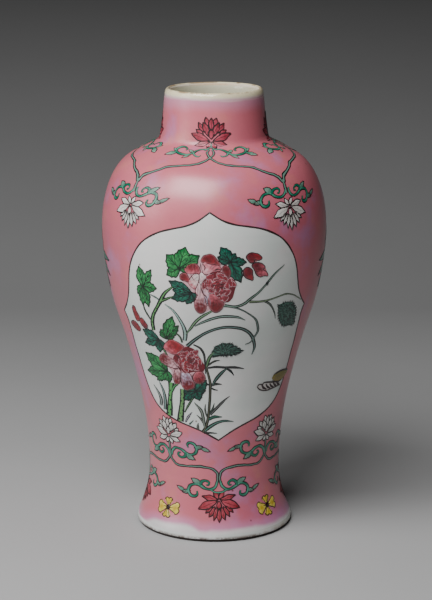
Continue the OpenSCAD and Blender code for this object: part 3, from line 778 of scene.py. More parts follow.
PETALS = [
    # outline, paint base, paint tip, colour at base, colour at tip
    ([(-11.2, 150.5), (-10.7, 153.2), (-9.6, 155.6), (-8, 156.8), (-5.8, 155.2), (-4.3, 153), (-4, 150.4),
      (-4.6, 147.4), (-6, 145.4), (-8.4, 145), (-10.4, 146.8)], (-7.5, 155.5), (-7.5, 148.5), PALE, CRIMSON),
    ([(-3.7, 152.6), (-3.4, 155.6), (-1.8, 157.6), (0.8, 156.6), (3.4, 154.4), (5.4, 151.6), (5, 148.6),
      (2.6, 146.1), (0, 145.7), (-2, 147.4), (-3.2, 150)], (0.4, 156), (1, 149), PINK, CRIMSON),
    ([(-5.2, 155.6), (-4.5, 151.6), (-3.5, 149.8), (-3.1, 153.6), (-2.2, 157.4), (-4.2, 160), (-6.4, 159)],
     (-4, 159), (-4, 151), PALE, LILAC),
    ([(-7.6, 169.8), (-5.4, 168.9), (-3.8, 167), (-5.4, 165.4), (-6.8, 163), (-7.2, 160.4), (-6.4, 157.4),
      (-5, 155), (-6.6, 153.8), (-8.8, 155.6), (-10.5, 158), (-9.9, 161.2), (-8.8, 164), (-8.4, 167)],
     (-7.5, 168), (-8, 156), tone(236, 220, 220), PALE),
    ([(-14.6, 163.8), (-13.7, 165.6), (-12.4, 167.4), (-10.6, 168.9), (-8.8, 168.8), (-8.1, 166.4),
      (-8.6, 163.8), (-9.6, 161.2), (-10.9, 159.7), (-12.8, 161), (-14.1, 162.4)], (-14, 163), (-9, 167),
     PINK, tone(236, 218, 216)),
    ([(-19.5, 165.8), (-19.3, 167.8), (-17.8, 168.9), (-15.7, 169), (-14.5, 167.2), (-13.6, 165.2),
      (-14.4, 163.8), (-16.4, 164.2), (-18.4, 164.6)], (-14, 165.5), (-18.5, 167), SCARLET, CRIMSON),
    ([(-16.9, 171.2), (-15.5, 173.3), (-13.5, 174.7), (-11.2, 175.1), (-9.2, 174.1), (-7.9, 172),
      (-7.5, 169.6), (-9, 168.7), (-11.2, 168.8), (-13.6, 168.6), (-15.6, 169.2)], (-11.5, 169),
     (-12.5, 174), PINK, CRIMSON),
    ([(-5.2, 175.8), (-3, 174.9), (0, 174.5), (2.6, 173.9), (3.9, 172.2), (3.4, 170.6), (1.4, 170.4),
      (-1, 169.8), (-3.4, 168.6), (-5.4, 168.5), (-6.4, 170.4), (-6.9, 172.6), (-6.4, 174.6)], (-4, 169),
     (1.5, 174), PALE, PINK),
    ([(-7.3, 177.2), (-6, 179.3), (-4, 180), (-2.2, 180.5), (-0.2, 179.7), (1.2, 178), (2.4, 176),
      (3.5, 174.1), (2.2, 173.6), (0, 174.2), (-3, 174.6), (-5, 175.3), (-7, 175.6)], (-1.5, 174),
     (-2.6, 178.4), SCARLET, CRIMSON),
    ([(4.2, 171.6), (5.3, 173.5), (7, 173.7), (8.5, 172.2), (9.3, 170), (9, 167.6), (8, 166.1), (6.2, 167.4),
      (4.9, 169.4)], (6, 168), (7, 172.5), HEART, CRIMSON),
    ([(-19.3, 97.4), (-19.5, 101), (-19.2, 104.6), (-16.4, 105.2), (-13.8, 104.4), (-12.4, 100.8),
      (-11.1, 98), (-11.8, 95.4), (-13.8, 94.1), (-16, 93.3), (-18.2, 94.8)], (-16.4, 104), (-15.4, 96.8),
     LILAC, CRIMSON),
    ([(-24.3, 101), (-23.9, 104), (-22.8, 106.8), (-21.2, 107.4), (-19.7, 105.8), (-19.3, 102), (-20.1, 98.6),
      (-21.6, 96.9), (-23.3, 97.1), (-24.3, 98.8)], (-21.6, 106), (-22, 98.6), PALE, CRIMSON),
    ([(-12.4, 101.2), (-11.9, 104), (-10.4, 106.2), (-7.6, 106.6), (-5.8, 105), (-4.8, 102.2), (-5.7, 100),
      (-7.5, 98.1), (-9.6, 98.3), (-11.5, 99.3)], (-10.8, 105), (-8, 100.4), PINK, CRIMSON),
    ([(-33.9, 112.4), (-33.1, 114.6), (-31, 115.9), (-28.8, 115.7), (-26.5, 114.3), (-23.6, 112.6),
      (-21.6, 110.6), (-21, 108.4), (-22.8, 107.2), (-25.5, 107.5), (-28.5, 108.2), (-31.2, 109.1),
      (-33.3, 110.6)],
     (-23.4, 109), (-31.4, 112.8), PALE, CRIMSON),
    ([(-30.3, 121.2), (-28.9, 123.7), (-26.6, 125.9), (-24.4, 126.4), (-21.4, 125.3), (-19, 123.8),
      (-17.4, 122), (-18.8, 119.8), (-20.6, 117.8), (-22.8, 116.5), (-25.6, 116.8), (-28.3, 118.1),
      (-30.2, 119.6)],
     (-27.5, 118.4), (-23.2, 122.6), PINK, SCARLET),
    # buds
    ([(18, 178), (19, 179.7), (21, 180.5), (23.2, 180.1), (25.5, 179.3), (27.6, 177), (25.6, 175.7),
      (23.3, 176.3), (22.6, 174.8), (20.4, 174.7), (19.1, 176.2)], (24.6, 177), (20.6, 178.4), SCARLET,
     HEART),
    ([(21.3, 173), (22.6, 174.3), (25, 174.5), (27.6, 173.7), (29.5, 171.5), (28.3, 170.2), (30.6, 168.4),
      (31.3, 166.2), (29, 166.4), (26.2, 166), (23.8, 167.8), (22.8, 170.6)], (29, 168.6), (24, 171.5),
     PINK, HEART),
    ([(16.3, 170.2), (17.6, 171.9), (19.6, 172.1), (21.7, 170.4), (21.9, 168), (22.3, 166), (21.9, 164.2),
      (20, 165), (18.1, 165.8), (16.7, 167.6)], (21, 166), (18.6, 169.6), SCARLET, HEART),
    ([(-53.6, 142.8), (-52.6, 144.6), (-50.9, 143.8), (-50, 141.4), (-48.9, 139.6), (-47.4, 137.8),
      (-47.3, 135.9), (-49, 134.9), (-50.7, 135.5), (-51.9, 137.6), (-52.9, 140)], (-52, 143), (-49, 137.4),
     HEART, SCARLET),
    ([(-47.3, 136.6), (-45.6, 137.7), (-43.5, 136), (-41.7, 133.8), (-41.5, 131.7), (-43.6, 131.1),
      (-45.5, 132.2), (-47.1, 134.2)], (-46, 136), (-42.6, 132.6), SCARLET, HEART),
    ([(-56.4, 132), (-55.4, 133.7), (-53, 134.3), (-50.5, 133.2), (-48.6, 131.4), (-47.5, 129.4),
      (-49.2, 127.9), (-51.7, 128.5), (-54.1, 129.8)], (-55, 132), (-49, 129.8), HEART, SCARLET),
]
UNDERLAY = [
    [(-10.8, 147), (-11, 152), (-9.6, 156), (-12, 159.6), (-18, 164.4), (-18.6, 168), (-15.4, 171),
     (-13, 174), (-8, 173.8), (-6.2, 178.4), (-2, 179.6), (2.2, 176), (4.4, 172.8), (8.4, 172.2), (9, 168),
     (11.6, 163), (10.2, 156), (6, 152), (4.6, 148), (1.4, 146.4), (-2.6, 148.6), (-5, 146), (-8.4, 145.6)],
    [(-33, 112.4), (-31, 115.2), (-28, 116), (-29.4, 121), (-26, 125), (-20, 124.4), (-14, 121.8),
     (-10.4, 119), (-9.6, 114), (-5.8, 111), (-7, 106.6), (-5.6, 102.4), (-9, 98.9), (-12, 98.6),
     (-13, 94.8), (-17, 94.2), (-19.4, 97.8), (-23, 97.8), (-23.8, 102), (-22.6, 107), (-28, 108.8),
     (-32.4, 110.6)],
]
PETAL_LINES = [
    ([(0.3, 171), (2, 171.8), (3.6, 171.5)], 0.7), ([(-8.2, 167.6), (-8.4, 164), (-7, 162.4)], 0.4),
    ([(-7, 160.4), (-6, 157.4), (-4.2, 155), (-3.6, 151)], 0.4),
               ([(-13, 168.2), (-12, 166.4), (-10.8, 164.8)], 0.4),
    ([(-6.2, 174.8), (-5, 172.6), (-5.8, 170.6)], 0.6), ([(-7.8, 172), (-7.4, 175.4)], 0.4),
    ([(-22.8, 116.8), (-20, 114.6), (-18.6, 112.4)], 0.4),
               ([(-24.4, 112), (-22.4, 109.4), (-19.6, 107.6)], 0.45),
    ([(-19.4, 105), (-19.6, 101), (-19, 97.8)], 0.4), ([(-24.2, 106.8), (-20, 107.4)], 0.45),
    ([(-12.8, 104.6), (-12.2, 101.4), (-11.4, 98.6)], 0.4),
]


def rimmed(base, tip, near, far, rim=PALE, pale=0.4):
    """Petal paint: mottled from base to tip, left paler along its own edge."""
    wash = toward(base, tip, near, far, 0.6, 0.34)

    def paint(x, y, off):
        c = wash(x, y, off)
        t = 0.5 + 1.1 * noise.noise(Vector((x * 0.75, y * 0.75, 4.4)))
        c = c * (0.7 + 0.45 * min(max(t, 0.0), 1.0))
        k = pale * math.exp(-off / 0.4)
        return c * (1 - k) + rim * k
    return paint


def petal_sheet():
    s = Sheet()
    for points in UNDERLAY:
        s.patch(loop(points, 0.8), lambda x, y, off: PALE * (0.82 + 0.25 * noise.noise(Vector((x, y, 2)))),
                0.03, 0.08, 0.9)
    for k, (points, base, tip, near, far) in enumerate(PETALS):
        edge = loop(points, 0.6)
        rise = 0.09 + 0.004 * (k % 5)
        bud = k >= len(PETALS) - 6
        s.patch(edge, rimmed(base, tip, near, far, PALE, 0.18 if bud else 0.4), rise, 0.17, 0.55)
        s.ink([tuple(p) for p in edge],
              [0.62, 0.4, 0.56] if bud else [0.24, 0.56, 0.2, 0.48, 0.22, 0.54, 0.2, 0.26],
              rise + 0.06, tone(40, 10, 18) if bud else tone(84, 24, 34), True)
        way = np.array(tip) - np.array(base)
        across = np.array([-way[1], way[0]]) / max(np.linalg.norm(way), 1e-6)
        for j in (-1, 0, 1):
            a = np.array(base) * 0.6 + np.array(tip) * 0.4 + across * j * 1.1
            b = np.array(tip) + way * 0.12 + across * j * 1.9
            s.ink([tuple(a), tuple((a + b) / 2 + across * 0.25), tuple(b)], [0.12, 0.36, 0.1], 0.27,
                  far * 0.45)
    for path, w in PETAL_LINES:
        s.ink(path, [w * 0.5, w, w * 0.4], 0.3, INK)
    return s


HEARTS = [
    ([(-7.1, 162), (-6.3, 164.3), (-4.6, 166), (-3.6, 168.1), (-1.5, 170), (1.2, 170.5), (3.8, 170.3),
      (5.7, 168.4), (7.7, 166.5), (9.5, 165.7), (11.2, 165), (12.6, 162.8), (11.5, 160.7), (11, 158.4),
      (10.8, 155.7), (9.8, 153.7), (7.8, 151.9), (5.8, 152.2), (3.4, 153.7), (1.2, 155.5), (-0.8, 155.9),
      (-2.8, 156.8), (-3.9, 158.8), (-5.3, 160.2)], (2.5, 162)),
    ([(-24.3, 113.8), (-23, 116.5), (-20.8, 118.5), (-18.7, 120.5), (-16.5, 122.4), (-14, 122.3),
      (-11.5, 121.2), (-10.1, 119.2), (-9.7, 116.5), (-9.4, 114.3), (-7.4, 113.3), (-5.7, 111.4),
      (-5.3, 108.8), (-6.5, 106.5), (-9, 105.7), (-11.5, 106.3), (-13.6, 105.5), (-16, 104.5),
      (-18.6, 105.3), (-20.7, 107.4), (-21.7, 109.6),
      (-23.2, 111.6)], (-14, 113.4)),
]


def heart_sheet():
    """The peonies' crowded middles: small scalloped petals laid like scales from the
    outside in, each with a pale rim and a dark line, and curling lines at the centre."""
    s = Sheet()
    for which, (points, centre) in enumerate(HEARTS):
        edge = loop(points, 0.6)
        s.patch(edge, lambda x, y, off: HEART * (0.9 + 0.4 * noise.noise(Vector((x, y, 2)))), 0.12, 0.1, 0.7)
        rng = np.random.default_rng(7 + which)
        mid = np.array(centre)
        count = 30
        for n in range(count):
            ring = 1 - (n / count) ** 1.25
            reach = edge[int((n * 0.381966 + 0.04 * rng.standard_normal()) % 1.0 * len(edge))] - mid
            tip = mid + reach * (0.2 + 0.82 * ring)
            turn = math.degrees(math.atan2(reach[0], reach[1])) + 22 * rng.standard_normal()
            length, width = 3.2 + 1.6 * rng.random(), 3.6 + 2.4 * rng.random()
            way = np.array([math.sin(math.radians(turn)), math.cos(math.radians(turn))])
            start = tip - way * length
            half = [(0, 0, 1), (0.3, 0.34), (0.5, 0.7), (0.38, 0.94), (0.2, 0.9), (0, 1.0)]
            shape = loop(spread(*start, length, width, turn, half), 0.5)
            deep = (CRIMSON, HEART, SCARLET * 0.85)[int(rng.integers(3))]
            rise = 0.13 + 0.0045 * n
            s.patch(shape, rimmed(start, tip, HEART_LIGHT, deep, PINK, 0.45), rise, 0.12, 0.5)
            s.ink([tuple(p) for p in shape], [0.44, 0.2, 0.5, 0.16, 0.46], rise + 0.045, PALE * 0.8, True,
                  0.5)
            outer = np.roll(shape, -len(shape) // 4, 0)[:max(4, len(shape) // 3)] + way * 0.12
            s.ink([tuple(p) for p in outer], [0.06, 0.38, 0.06], rise + 0.07, tone(60, 12, 26), False, 0.5)
            for j in (-0.7, 0.5):
                a = start + way * length * 0.35 + np.array([way[1], -way[0]]) * j
                s.ink([tuple(a), tuple(a + way * length * 0.4)], [0.1, 0.26], rise + 0.14, deep * 0.45)
        for k in range(12):
            a = k * 2.4
            c = mid + np.array([math.cos(a) * 3.0, math.sin(a) * 2.2]) * math.sqrt((k + 0.5) / 12)
            w = 0.9 + 0.8 * rng.random()
            arc = [tuple(c + np.array([w * q, 0.5 * (q * q - 1) * (1 if k % 2 else -1)]))
                   for q in (-1, -0.4, 0.2, 1)]
            s.ink(arc, [0.1, 0.42, 0.3, 0.1], 0.36, tone(44, 10, 22))
    return s


STEMS = [
    ([(-27.9, 75.4), (-27.5, 80), (-27.1, 86), (-26.6, 91), (-26, 97.4)], [4.8, 4.4, 3.2, 3.1, 4.4],
     tone(84, 158, 84), 0.72),
    ([(-26, 91), (-24, 95), (-21.6, 97)], [2, 2.2, 1.4], tone(70, 150, 84), 0.4),
    ([(-20.4, 72.9), (-19.7, 79), (-18.9, 86), (-18.7, 94)], [4.6, 3.8, 3.2, 3], tone(102, 152, 90), 0.66),
    ([(-17.4, 79), (-15, 84), (-12.4, 88.6)], [0.8, 1.5, 1.2], MOSS, 0.3),
    ([(-36.9, 131), (-37.6, 136), (-36.8, 141), (-34.2, 146), (-31.4, 151), (-28.6, 156), (-23.6, 160.4)],
     [2.8, 3, 2.6, 2.4, 3, 2.2, 1], tone(96, 154, 88), 0.62),
    ([(-31.6, 150.6), (-27.4, 152.6), (-23.4, 154.4)], [2.2, 1.8, 0.8], tone(96, 154, 88), 0.5),
    ([(-38.8, 138), (-41.4, 141.4), (-43.3, 144.6), (-43.7, 147.6)], [1, 1.4, 1.2, 1], tone(64, 84, 66), 0.3),
    ([(-38.6, 154), (-35.6, 153), (-32.6, 151.6)], [0.5, 1, 0.9], SEA, 0.3),
    ([(-22, 131), (-19.6, 128.6), (-18.4, 125)], [1, 1.2, 1.2], MOSS, 0.3),
    ([(-30.6, 119.4), (-29.4, 117.2), (-28, 115.6)], [1.6, 1.6, 1], MOSS, 0.3),
    ([(-16.9, 126.6), (-16.5, 131), (-17.5, 135.6), (-20, 140.6), (-23.6, 145.6), (-28.8, 149.2)],
     [2.6, 2.8, 2.2, 1.8, 1.3, 0.5], tone(146, 176, 168), 0.44),
    ([(-16.4, 130.6), (-13.6, 134.6), (-10.8, 139), (-7, 142.8), (-1.4, 146.4)], [0.6, 1.7, 2, 1.8, 1.2],
     tone(120, 158, 118), 0.4),
    ([(-11, 136.6), (-6, 139.5), (0, 142), (5, 143), (10, 142.8), (14, 142), (17.8, 140)],
     [0.7, 1.6, 1.9, 1.9, 1.9, 1.6, 0.4], tone(140, 168, 156), 0.42),
    ([(-15.6, 122.8), (-11.5, 127), (-6, 131.5), (0, 134.6), (6, 136), (12, 135.6), (17, 134), (20.6, 131),
      (22.7, 127), (23.6, 121.5), (22, 116.6)], [2.5, 2.3, 1.9, 1.9, 1.9, 2, 2.1, 2.2, 2.3, 1.9, 0.5],
     tone(112, 144, 136), 0.86),
    ([(5, 149.4), (10, 148.8), (15, 147), (20, 143.8), (24, 140), (25.4, 135.5), (25.4, 131.6), (22.8, 127.6),
      (21, 125), (17.8, 123.8)], [0.9, 1.2, 1, 0.9, 1, 1.5, 1.7, 1.2, 1, 0.5], tone(132, 160, 148), 0.4),
    ([(6, 150), (12, 149), (17, 150.4), (20.4, 153), (26, 157), (31, 162), (36, 167), (42.4, 171.4)],
     [1.6, 1.6, 1.9, 1.6, 1.2, 1.5, 1.1, 0.4], tone(128, 158, 140), 0.42),
    ([(20, 151.4), (26, 151), (31, 151.2), (36, 152), (41, 153), (45, 153.3), (50, 152), (54, 149.8),
      (58, 147.4)],
     [1.8, 1.4, 1.3, 1, 0.9, 1.1, 0.8, 0.8, 0.5], tone(136, 156, 120), 0.36),
    ([(28.6, 151.2), (32.5, 149), (35, 145.6), (36.6, 141.6), (37, 138.8)], [1.1, 1.5, 1.2, 1, 0.4],
     tone(128, 144, 130), 0.36),
    ([(-6.7, 66.8), (-5, 70), (-3.8, 74.5), (-3.2, 79), (-2.8, 84), (-2.4, 90), (-2.3, 95), (-2.2, 98.6),
      (-3, 103), (-4, 107.5), (-4.4, 110)], [2.2, 1.9, 1.7, 1.6, 1.6, 1.6, 1.6, 1.8, 1.5, 1.4, 1.2],
     tone(104, 104, 76), 0.66),
    ([(-0.8, 98), (1, 101.5), (4, 105.5), (7.2, 108.7)], [1.2, 2.2, 2.2, 0.9], tone(80, 122, 110), 0.5),
    ([(6.6, 108.8), (9.5, 106.6), (11.4, 103.6)], [1, 1.6, 0.3], DARK, 0.3),
    ([(-3.5, 109), (1, 109.7), (6, 109.3), (12, 109), (17.4, 107.7)], [1.2, 1.6, 1.5, 1.7, 0.4],
     tone(60, 60, 62), 0.4),
    ([(-4, 110), (-2, 112), (0.5, 113.6), (3.2, 114.2)], [0.8, 1.2, 1.3, 0.4], tone(70, 76, 62), 0.34),
    ([(-4.3, 110), (-3, 115), (-1.2, 118), (0.4, 120)], [1.4, 2.2, 2, 1], MOSS, 0.36),
    ([(-4.8, 105), (-5.2, 112), (-5.8, 118), (-8, 122), (-11.8, 124.2)], [0.6, 0.9, 1.3, 1.5, 0.9],
     tone(60, 60, 56), 0.4),
    ([(-2, 97), (1, 98.4), (4.4, 98.2)], [0.8, 1.8, 0.4], tone(60, 66, 58), 0.36),
    ([(-2, 96), (0, 94.8), (2.2, 94.4)], [1, 1, 0.3], DARK, 0.3),
    ([(-3, 97.8), (-4.6, 99), (-5.6, 100.6)], [1, 0.9, 0.3], DARK, 0.3),
    ([(-5.4, 70), (-6.3, 76), (-7.6, 81), (-11.6, 85.9)], [1.2, 1.9, 2, 0.4], tone(120, 130, 120), 0.34),
    ([(-5.8, 72), (-7.6, 75.5), (-10.2, 77.9)], [1, 1.4, 0.3], tone(136, 140, 130), 0.34),
    ([(-4.2, 77), (-5.2, 81.5), (-5, 85.2)], [0.8, 1.2, 0.3], tone(110, 124, 108), 0.34),
    ([(-2.6, 79), (-0.8, 82.5), (0.1, 85.9)], [0.8, 1.2, 0.3], tone(78, 104, 88), 0.34),
    ([(-2.2, 78.4), (2, 83.4), (6, 87.8), (9, 90.2)], [1.5, 1.9, 1.6, 0.3], tone(96, 98, 96), 0.4),
    ([(-3.2, 75.4), (0, 77), (4.6, 76.9)], [2, 2.2, 0.4], tone(34, 96, 76), 0.36),
    ([(-5.4, 67.8), (-2, 71), (2, 73.4), (6, 74.3), (11.4, 73.6)], [1.8, 2.4, 1.9, 1.5, 0.3],
     tone(84, 132, 118), 0.5),
    ([(-5.8, 66.6), (-2, 66.8), (1.7, 66.5)], [1.2, 1.1, 0.3], DARK, 0.3),
    ([(-34.4, 80.6), (-34, 84.4), (-35.8, 88.6), (-40, 93.2)], [2.6, 2.8, 1.6, 0.5], tone(140, 152, 146),
     0.56),
    ([(-31.2, 78.6), (-30.8, 85), (-32, 91), (-35.4, 97.4)], [2.4, 2.8, 1.8, 0.5], tone(126, 152, 146), 0.56),
    ([(-17, 72.6), (-15.4, 76), (-12.9, 79.6)], [1, 1.7, 0.3], tone(146, 140, 152), 0.3),
    ([(-14.6, 71.4), (-12.2, 74.2)], [1.2, 0.4], SEA, 0.3),
    ([(-9.3, 68.6), (-9.5, 70.8), (-9.2, 72.8)], [1.5, 1.6, 0.3], tone(130, 136, 124), 0.34),
]


def stem_sheet():
    s = Sheet()
    for k, (path, widths, fill, edge_w) in enumerate(STEMS):
        s.outlined(path, widths, fill, 0.04 + 0.012 * (k % 4), DARK * 0.35, edge_w * 1.6)
    for x, y in ((-19, 90.6), (-18.2, 88.4), (-19.2, 86.2), (-18.3, 84.4), (-19.4, 82.4), (-18.6, 80),
                 (-20, 78), (-19.3, 76), (-20.9, 74.4), (-26.6, 92), (-27.4, 88.6), (-26.8, 85.6),
                 (-27.8, 82.4), (-27, 79.4), (-28.4, 77), (-36.8, 133), (-37.2, 136.6), (-36.6, 139.6),
                 (-35.6, 142.8), (-34, 145.6), (-32, 149),
                 (-29.8, 153)):
        s.patch(loop([(x + 0.42 * math.cos(a), y + 0.62 * math.sin(a))
                      for a in (0, 1.05, 2.1, 3.15, 4.2, 5.25)],
                     0.4), lambda x, y, off: DARK, 0.2, 0.08, 0.5)
    s.patch(loop([(30, 160.8), (31, 163.2), (32, 162.6), (31.2, 160.6)], 0.4), lambda x, y, off: DARK, 0.2,
            0.08, 0.5)
    return s


def seed_head_sheet():
    s = Sheet()
    heads = [
        ([(38.5, 147.2, 1), (41.5, 146.8), (43, 148.2), (46.8, 147.8), (50, 147.2), (51.6, 145.2),
          (53.6, 142.4), (54, 138.6), (53.4, 135), (53.6, 132.6, 1), (51.4, 131.6), (48, 132.6),
          (44, 132.4), (41.5, 134.8), (39.8, 137.6), (39, 141), (39.2, 144.6)], (46, 140), 62),
        ([(-1.6, 117.2, 1), (-1.2, 119.4), (0.4, 121.6), (0.4, 123.4, 1), (3.4, 124), (4.6, 125.6, 1),
          (6.6, 124.8), (9.2, 125.2), (11.2, 123.8), (13.4, 122.2), (16.4, 119.9, 1), (14.6, 118.6),
          (11, 117.2), (8, 117), (5, 117.3), (2, 117), (0.2, 116.4)], (7, 119.6), 54)]
    for points, centre, ticks in heads:
        edge = loop(points, 0.6)

        def paint(x, y, off):
            t = 0.5 + 0.9 * noise.noise(Vector((x * 0.7, y * 1.6, 6)))
            t = min(max(t, 0), 1)
            return tone(24, 68, 58) * (1 - t) + tone(78, 122, 106) * t
        s.patch(edge, paint, 0.07, 0.16, 0.6)
        rng = np.random.default_rng(len(points))
        reach = edge - np.array(centre)
        for k in range(ticks):
            p = reach[int(k / ticks * len(edge))] * (1.0 + 0.03 * rng.random())
            out = p / np.linalg.norm(p)
            a = np.array(centre) + p - out * 1.3
            b = np.array(centre) + p + out * (0.5 + 0.7 * rng.random())
            s.ink([tuple(a), tuple((a + b) / 2), tuple(b)], [0.34, 0.56, 0.14], 0.14, tone(8, 28, 26))
        for k in range(ticks * 2):
            ring = ((k * 0.618) % 1.0) ** 0.5 * 0.86
            p = reach[int(k * 7.3) % len(edge)] * ring
            out = p / max(np.linalg.norm(p), 1e-6)
            c = np.array(centre) + p
            q = c + out * (1.1 + 0.5 * rng.random()) + np.array([0.25, -0.1])
            s.ink([tuple(c), tuple((c + q) / 2), tuple(q)], [0.14, 0.6, 0.12], 0.25, tone(8, 28, 26))
    return s


def bird_sheet():
    s = Sheet()
    white = tone(206, 200, 196)
    s.patch(loop([(26.2, 94.4), (27.2, 95.7), (30, 95.5), (31, 96.3), (34, 95.9), (38, 95.4), (41, 94.7),
                  (44.6, 93.9), (45.2, 92), (41, 91.3), (37, 91.1), (33, 90.8), (30, 91.4), (27.7, 92.5)],
                 0.6),
            lambda x, y, off: white * (0.75 + 0.25 * min(off, 1)), 0.08, 0.14, 0.6)
    s.ink([(26.2, 94.6), (26.8, 93.2), (29, 91.7), (33, 90.8), (38, 91.2), (44.8, 91.8)], [0.7, 0.9, 0.6],
          0.18)
    s.ink([(26.4, 94.8), (27.4, 95.8), (30, 95.4), (31, 96.4), (35, 95.9), (41, 94.8)],
          [0.6, 0.7, 1.0, 0.9], 0.18)
    for k in range(5):
        x = 29.4 + 3.0 * k
        s.ink([(x, 95.4 - 0.2 * k), (x + 0.9, 93.4), (x + 3.6, 91.6)], [0.9, 2.0, 0.7], 0.2, tone(44, 20, 24))
    s.patch(loop([(37.2, 97.6), (38.4, 99.9), (40, 100.9), (44, 101.4), (48, 101.4), (51.4, 100.7),
                  (53.4, 99.6), (51.6, 97.4), (48, 95.6), (44, 94.8), (40, 95.4)], 0.6),
            toward((44, 95.5), (44, 101.2), tone(150, 128, 60), tone(112, 104, 18), 1.0), 0.1, 0.2, 0.6)
    s.ink([(38.6, 100.2), (42, 101.1), (47, 101.5), (52.6, 100.4)], [0.5, 0.9, 0.8, 1.0], 0.24)
    s.ink([(37.6, 96), (40, 95.1), (44, 94.6), (47, 95.2)], [0.9, 0.9, 0.4], 0.24)
    for x in (39.6, 41.2, 43):
        s.ink([(x, 95.6), (x + 0.6, 97.4), (x + 1.8, 99.8)], [0.3, 0.45, 0.2], 0.28, tone(70, 56, 20))
    return s


# ---------------------------------------------------------------- flower borders
UPRIGHT = [
    # turn, start out from the heart, length, width
    (-152, 0.6, 4.6, 2.6), (150, 0.6, 5.4, 2.8), (-108, 0.8, 9.2, 3.4), (106, 0.8, 8.6, 3.4),
    (-54, 5.4, 5.6, 2.8), (53, 5.4, 5.2, 2.8), (-13, 8.6, 5.2, 2.6), (12, 8.4, 5, 2.6), (-36, 5.8, 7.2, 3),
    (35, 5.6, 7, 3), (-71, 1.2, 11.2, 4.4), (70, 1.2, 10.8, 4.2), (0, 5.6, 7.6, 3), (-24, 2.8, 9, 3.4),
    (22, 2.8, 8.6, 3.4), (0, 1.2, 5.6, 3.6)]


HANGING = [
    (-152, 0.4, 5.6, 2.6), (150, 0.4, 5.4, 2.6), (-103, 0.6, 9.6, 3.4), (102, 0.6, 9.6, 3.4),
    (-47, 5, 6.4, 2.2), (46, 5, 6.2, 2.2), (-32, 4.4, 7.6, 2.4), (31, 4.4, 7.4, 2.4), (-16, 4.2, 8.6, 2.5),
    (15, 4.2, 8.4, 2.5), (0, 5, 8.4, 2.6), (-67, 1, 12.4, 4.8), (66, 1, 12.6, 4.8), (1, 0.6, 5.2, 2.8)]


def lotus(s, x, y, fan, flip, near, far, line, lift=0.16, inked=1.0):
    """A lotus: a fan of outlined petals about its heart. flip hangs it down."""
    for k, (turn, start, length, width) in enumerate(fan):
        a = turn + (180 if flip else 0)
        sx = x + start * math.sin(math.radians(a))
        sy = y + start * math.cos(math.radians(a))
        tip = (sx + length * math.sin(math.radians(a)), sy + length * math.cos(math.radians(a)))
        edge = loop(petal(sx, sy, length, width, a, 0.56, 0.9), 0.55)
        s.patch(edge, toward((sx, sy), tip, near, far, 1.2, 0.2), lift + 0.006 * k, 0.14, 0.7)
        s.ink([tuple(p) for p in edge], [inked * w for w in (0.56, 0.38, 0.64, 0.46)],
              lift + 0.08 + 0.006 * k, line, True, 0.5)
        mid = ((sx + tip[0]) / 2, (sy + tip[1]) / 2)
        if length > 6:
            s.ink([(sx, sy), mid, tip], [0.1, 0.26 * inked, 0.1], lift + 0.17 + 0.006 * k, far * 0.5)


def white_lotus_shoulder():
    s = Sheet()
    lotus(s, 0, 204.2, HANGING, True, tone(198, 190, 184), tone(234, 232, 228), tone(34, 20, 22), 0.16, 1.2)
    s.ink([(-0.4, 203.6), (0, 202.8), (0.5, 203.6)], [1, 1.4, 1], 0.42)
    return s


def white_lotus_foot():
    s = Sheet()
    fan = [(t, a * 0.92, b * 0.88, w) for t, a, b, w in UPRIGHT]
    lotus(s, 0, 62, fan, False, tone(188, 184, 180), tone(230, 228, 222), tone(34, 20, 22), 0.16, 1.2)
    return s


def red_lotus_shoulder():
    s = Sheet()
    lotus(s, 0, 253.2, UPRIGHT, False, tone(186, 76, 96), tone(122, 16, 32), tone(26, 8, 10), 0.16, 1.15)
    return s


def red_lotus_foot():
    s = Sheet()
    lotus(s, 0, 25.4, HANGING, True, tone(194, 84, 98), tone(134, 22, 34), tone(32, 12, 14), 0.16, 1.15)
    return s


def floret_sheet():
    """A yellow floret: four notched petals round a dark eye."""
    s = Sheet()
    yellow, amber = tone(228, 208, 92), tone(206, 172, 48)
    hearts = [(-96, 7.9, 7.4), (86, 8.1, 7.2), (-4, 5.9, 5.6), (183, 6.1, 6.0)]
    for turn, length, width in hearts:
        a = math.radians(turn)
        shape = [(0, 0.7), (0.3, 0.9), (0.43, 1.6 / length * 3.4), (0.52, 0.66), (0.43, 0.9), (0.2, 1.0),
                 (0, 0.88), (-0.2, 1.0), (-0.44, 0.92), (-0.52, 0.68), (-0.42, 1.6 / length * 3.2),
                 (-0.3, 0.9)]
        points = []
        for k, (across, out) in enumerate(shape):
            w, h = across * width, (out if k in (0, 1, 11) else out * length)
            if k in (0, 1, 11):
                w, h = across * 2.6, 0.9 + 0.3 * (k != 0)
            points.append((w * math.cos(a) + h * math.sin(a), 18 - w * math.sin(a) + h * math.cos(a)))
        edge = loop(points, 0.55)
        mid = edge.mean(0)

        def paint(x, y, off, m=mid):
            t = math.exp(-((x - m[0]) ** 2 + (y - m[1]) ** 2) / 3.0)
            return (yellow * (1 - t) + amber * t) * (0.9 + 0.2 * noise.noise(Vector((x, y, 1))))
        s.patch(edge, paint, 0.17, 0.2, 0.6)
        s.ink([tuple(p) for p in edge], [0.5, 0.62, 0.44], 0.24, tone(58, 32, 16), True)
    s.patch(loop([(-1.3, 17.6), (-0.9, 19.2), (0.4, 19.7), (1.4, 18.8), (1.2, 17.2), (0, 16.6)], 0.4),
            lambda x, y, off: INK, 0.3, 0.16, 0.5)
    for tip in ((-3.4, 18.2), (3.6, 18.5), (0.2, 21.2), (-0.3, 14.8)):
        s.ink([(0, 18), tip], [0.6, 0.16], 0.4)
    return s


EMERALD, JADE = tone(16, 104, 80), tone(78, 146, 122)
VINE = tone(104, 136, 122)
TWIG = tone(10, 16, 18)


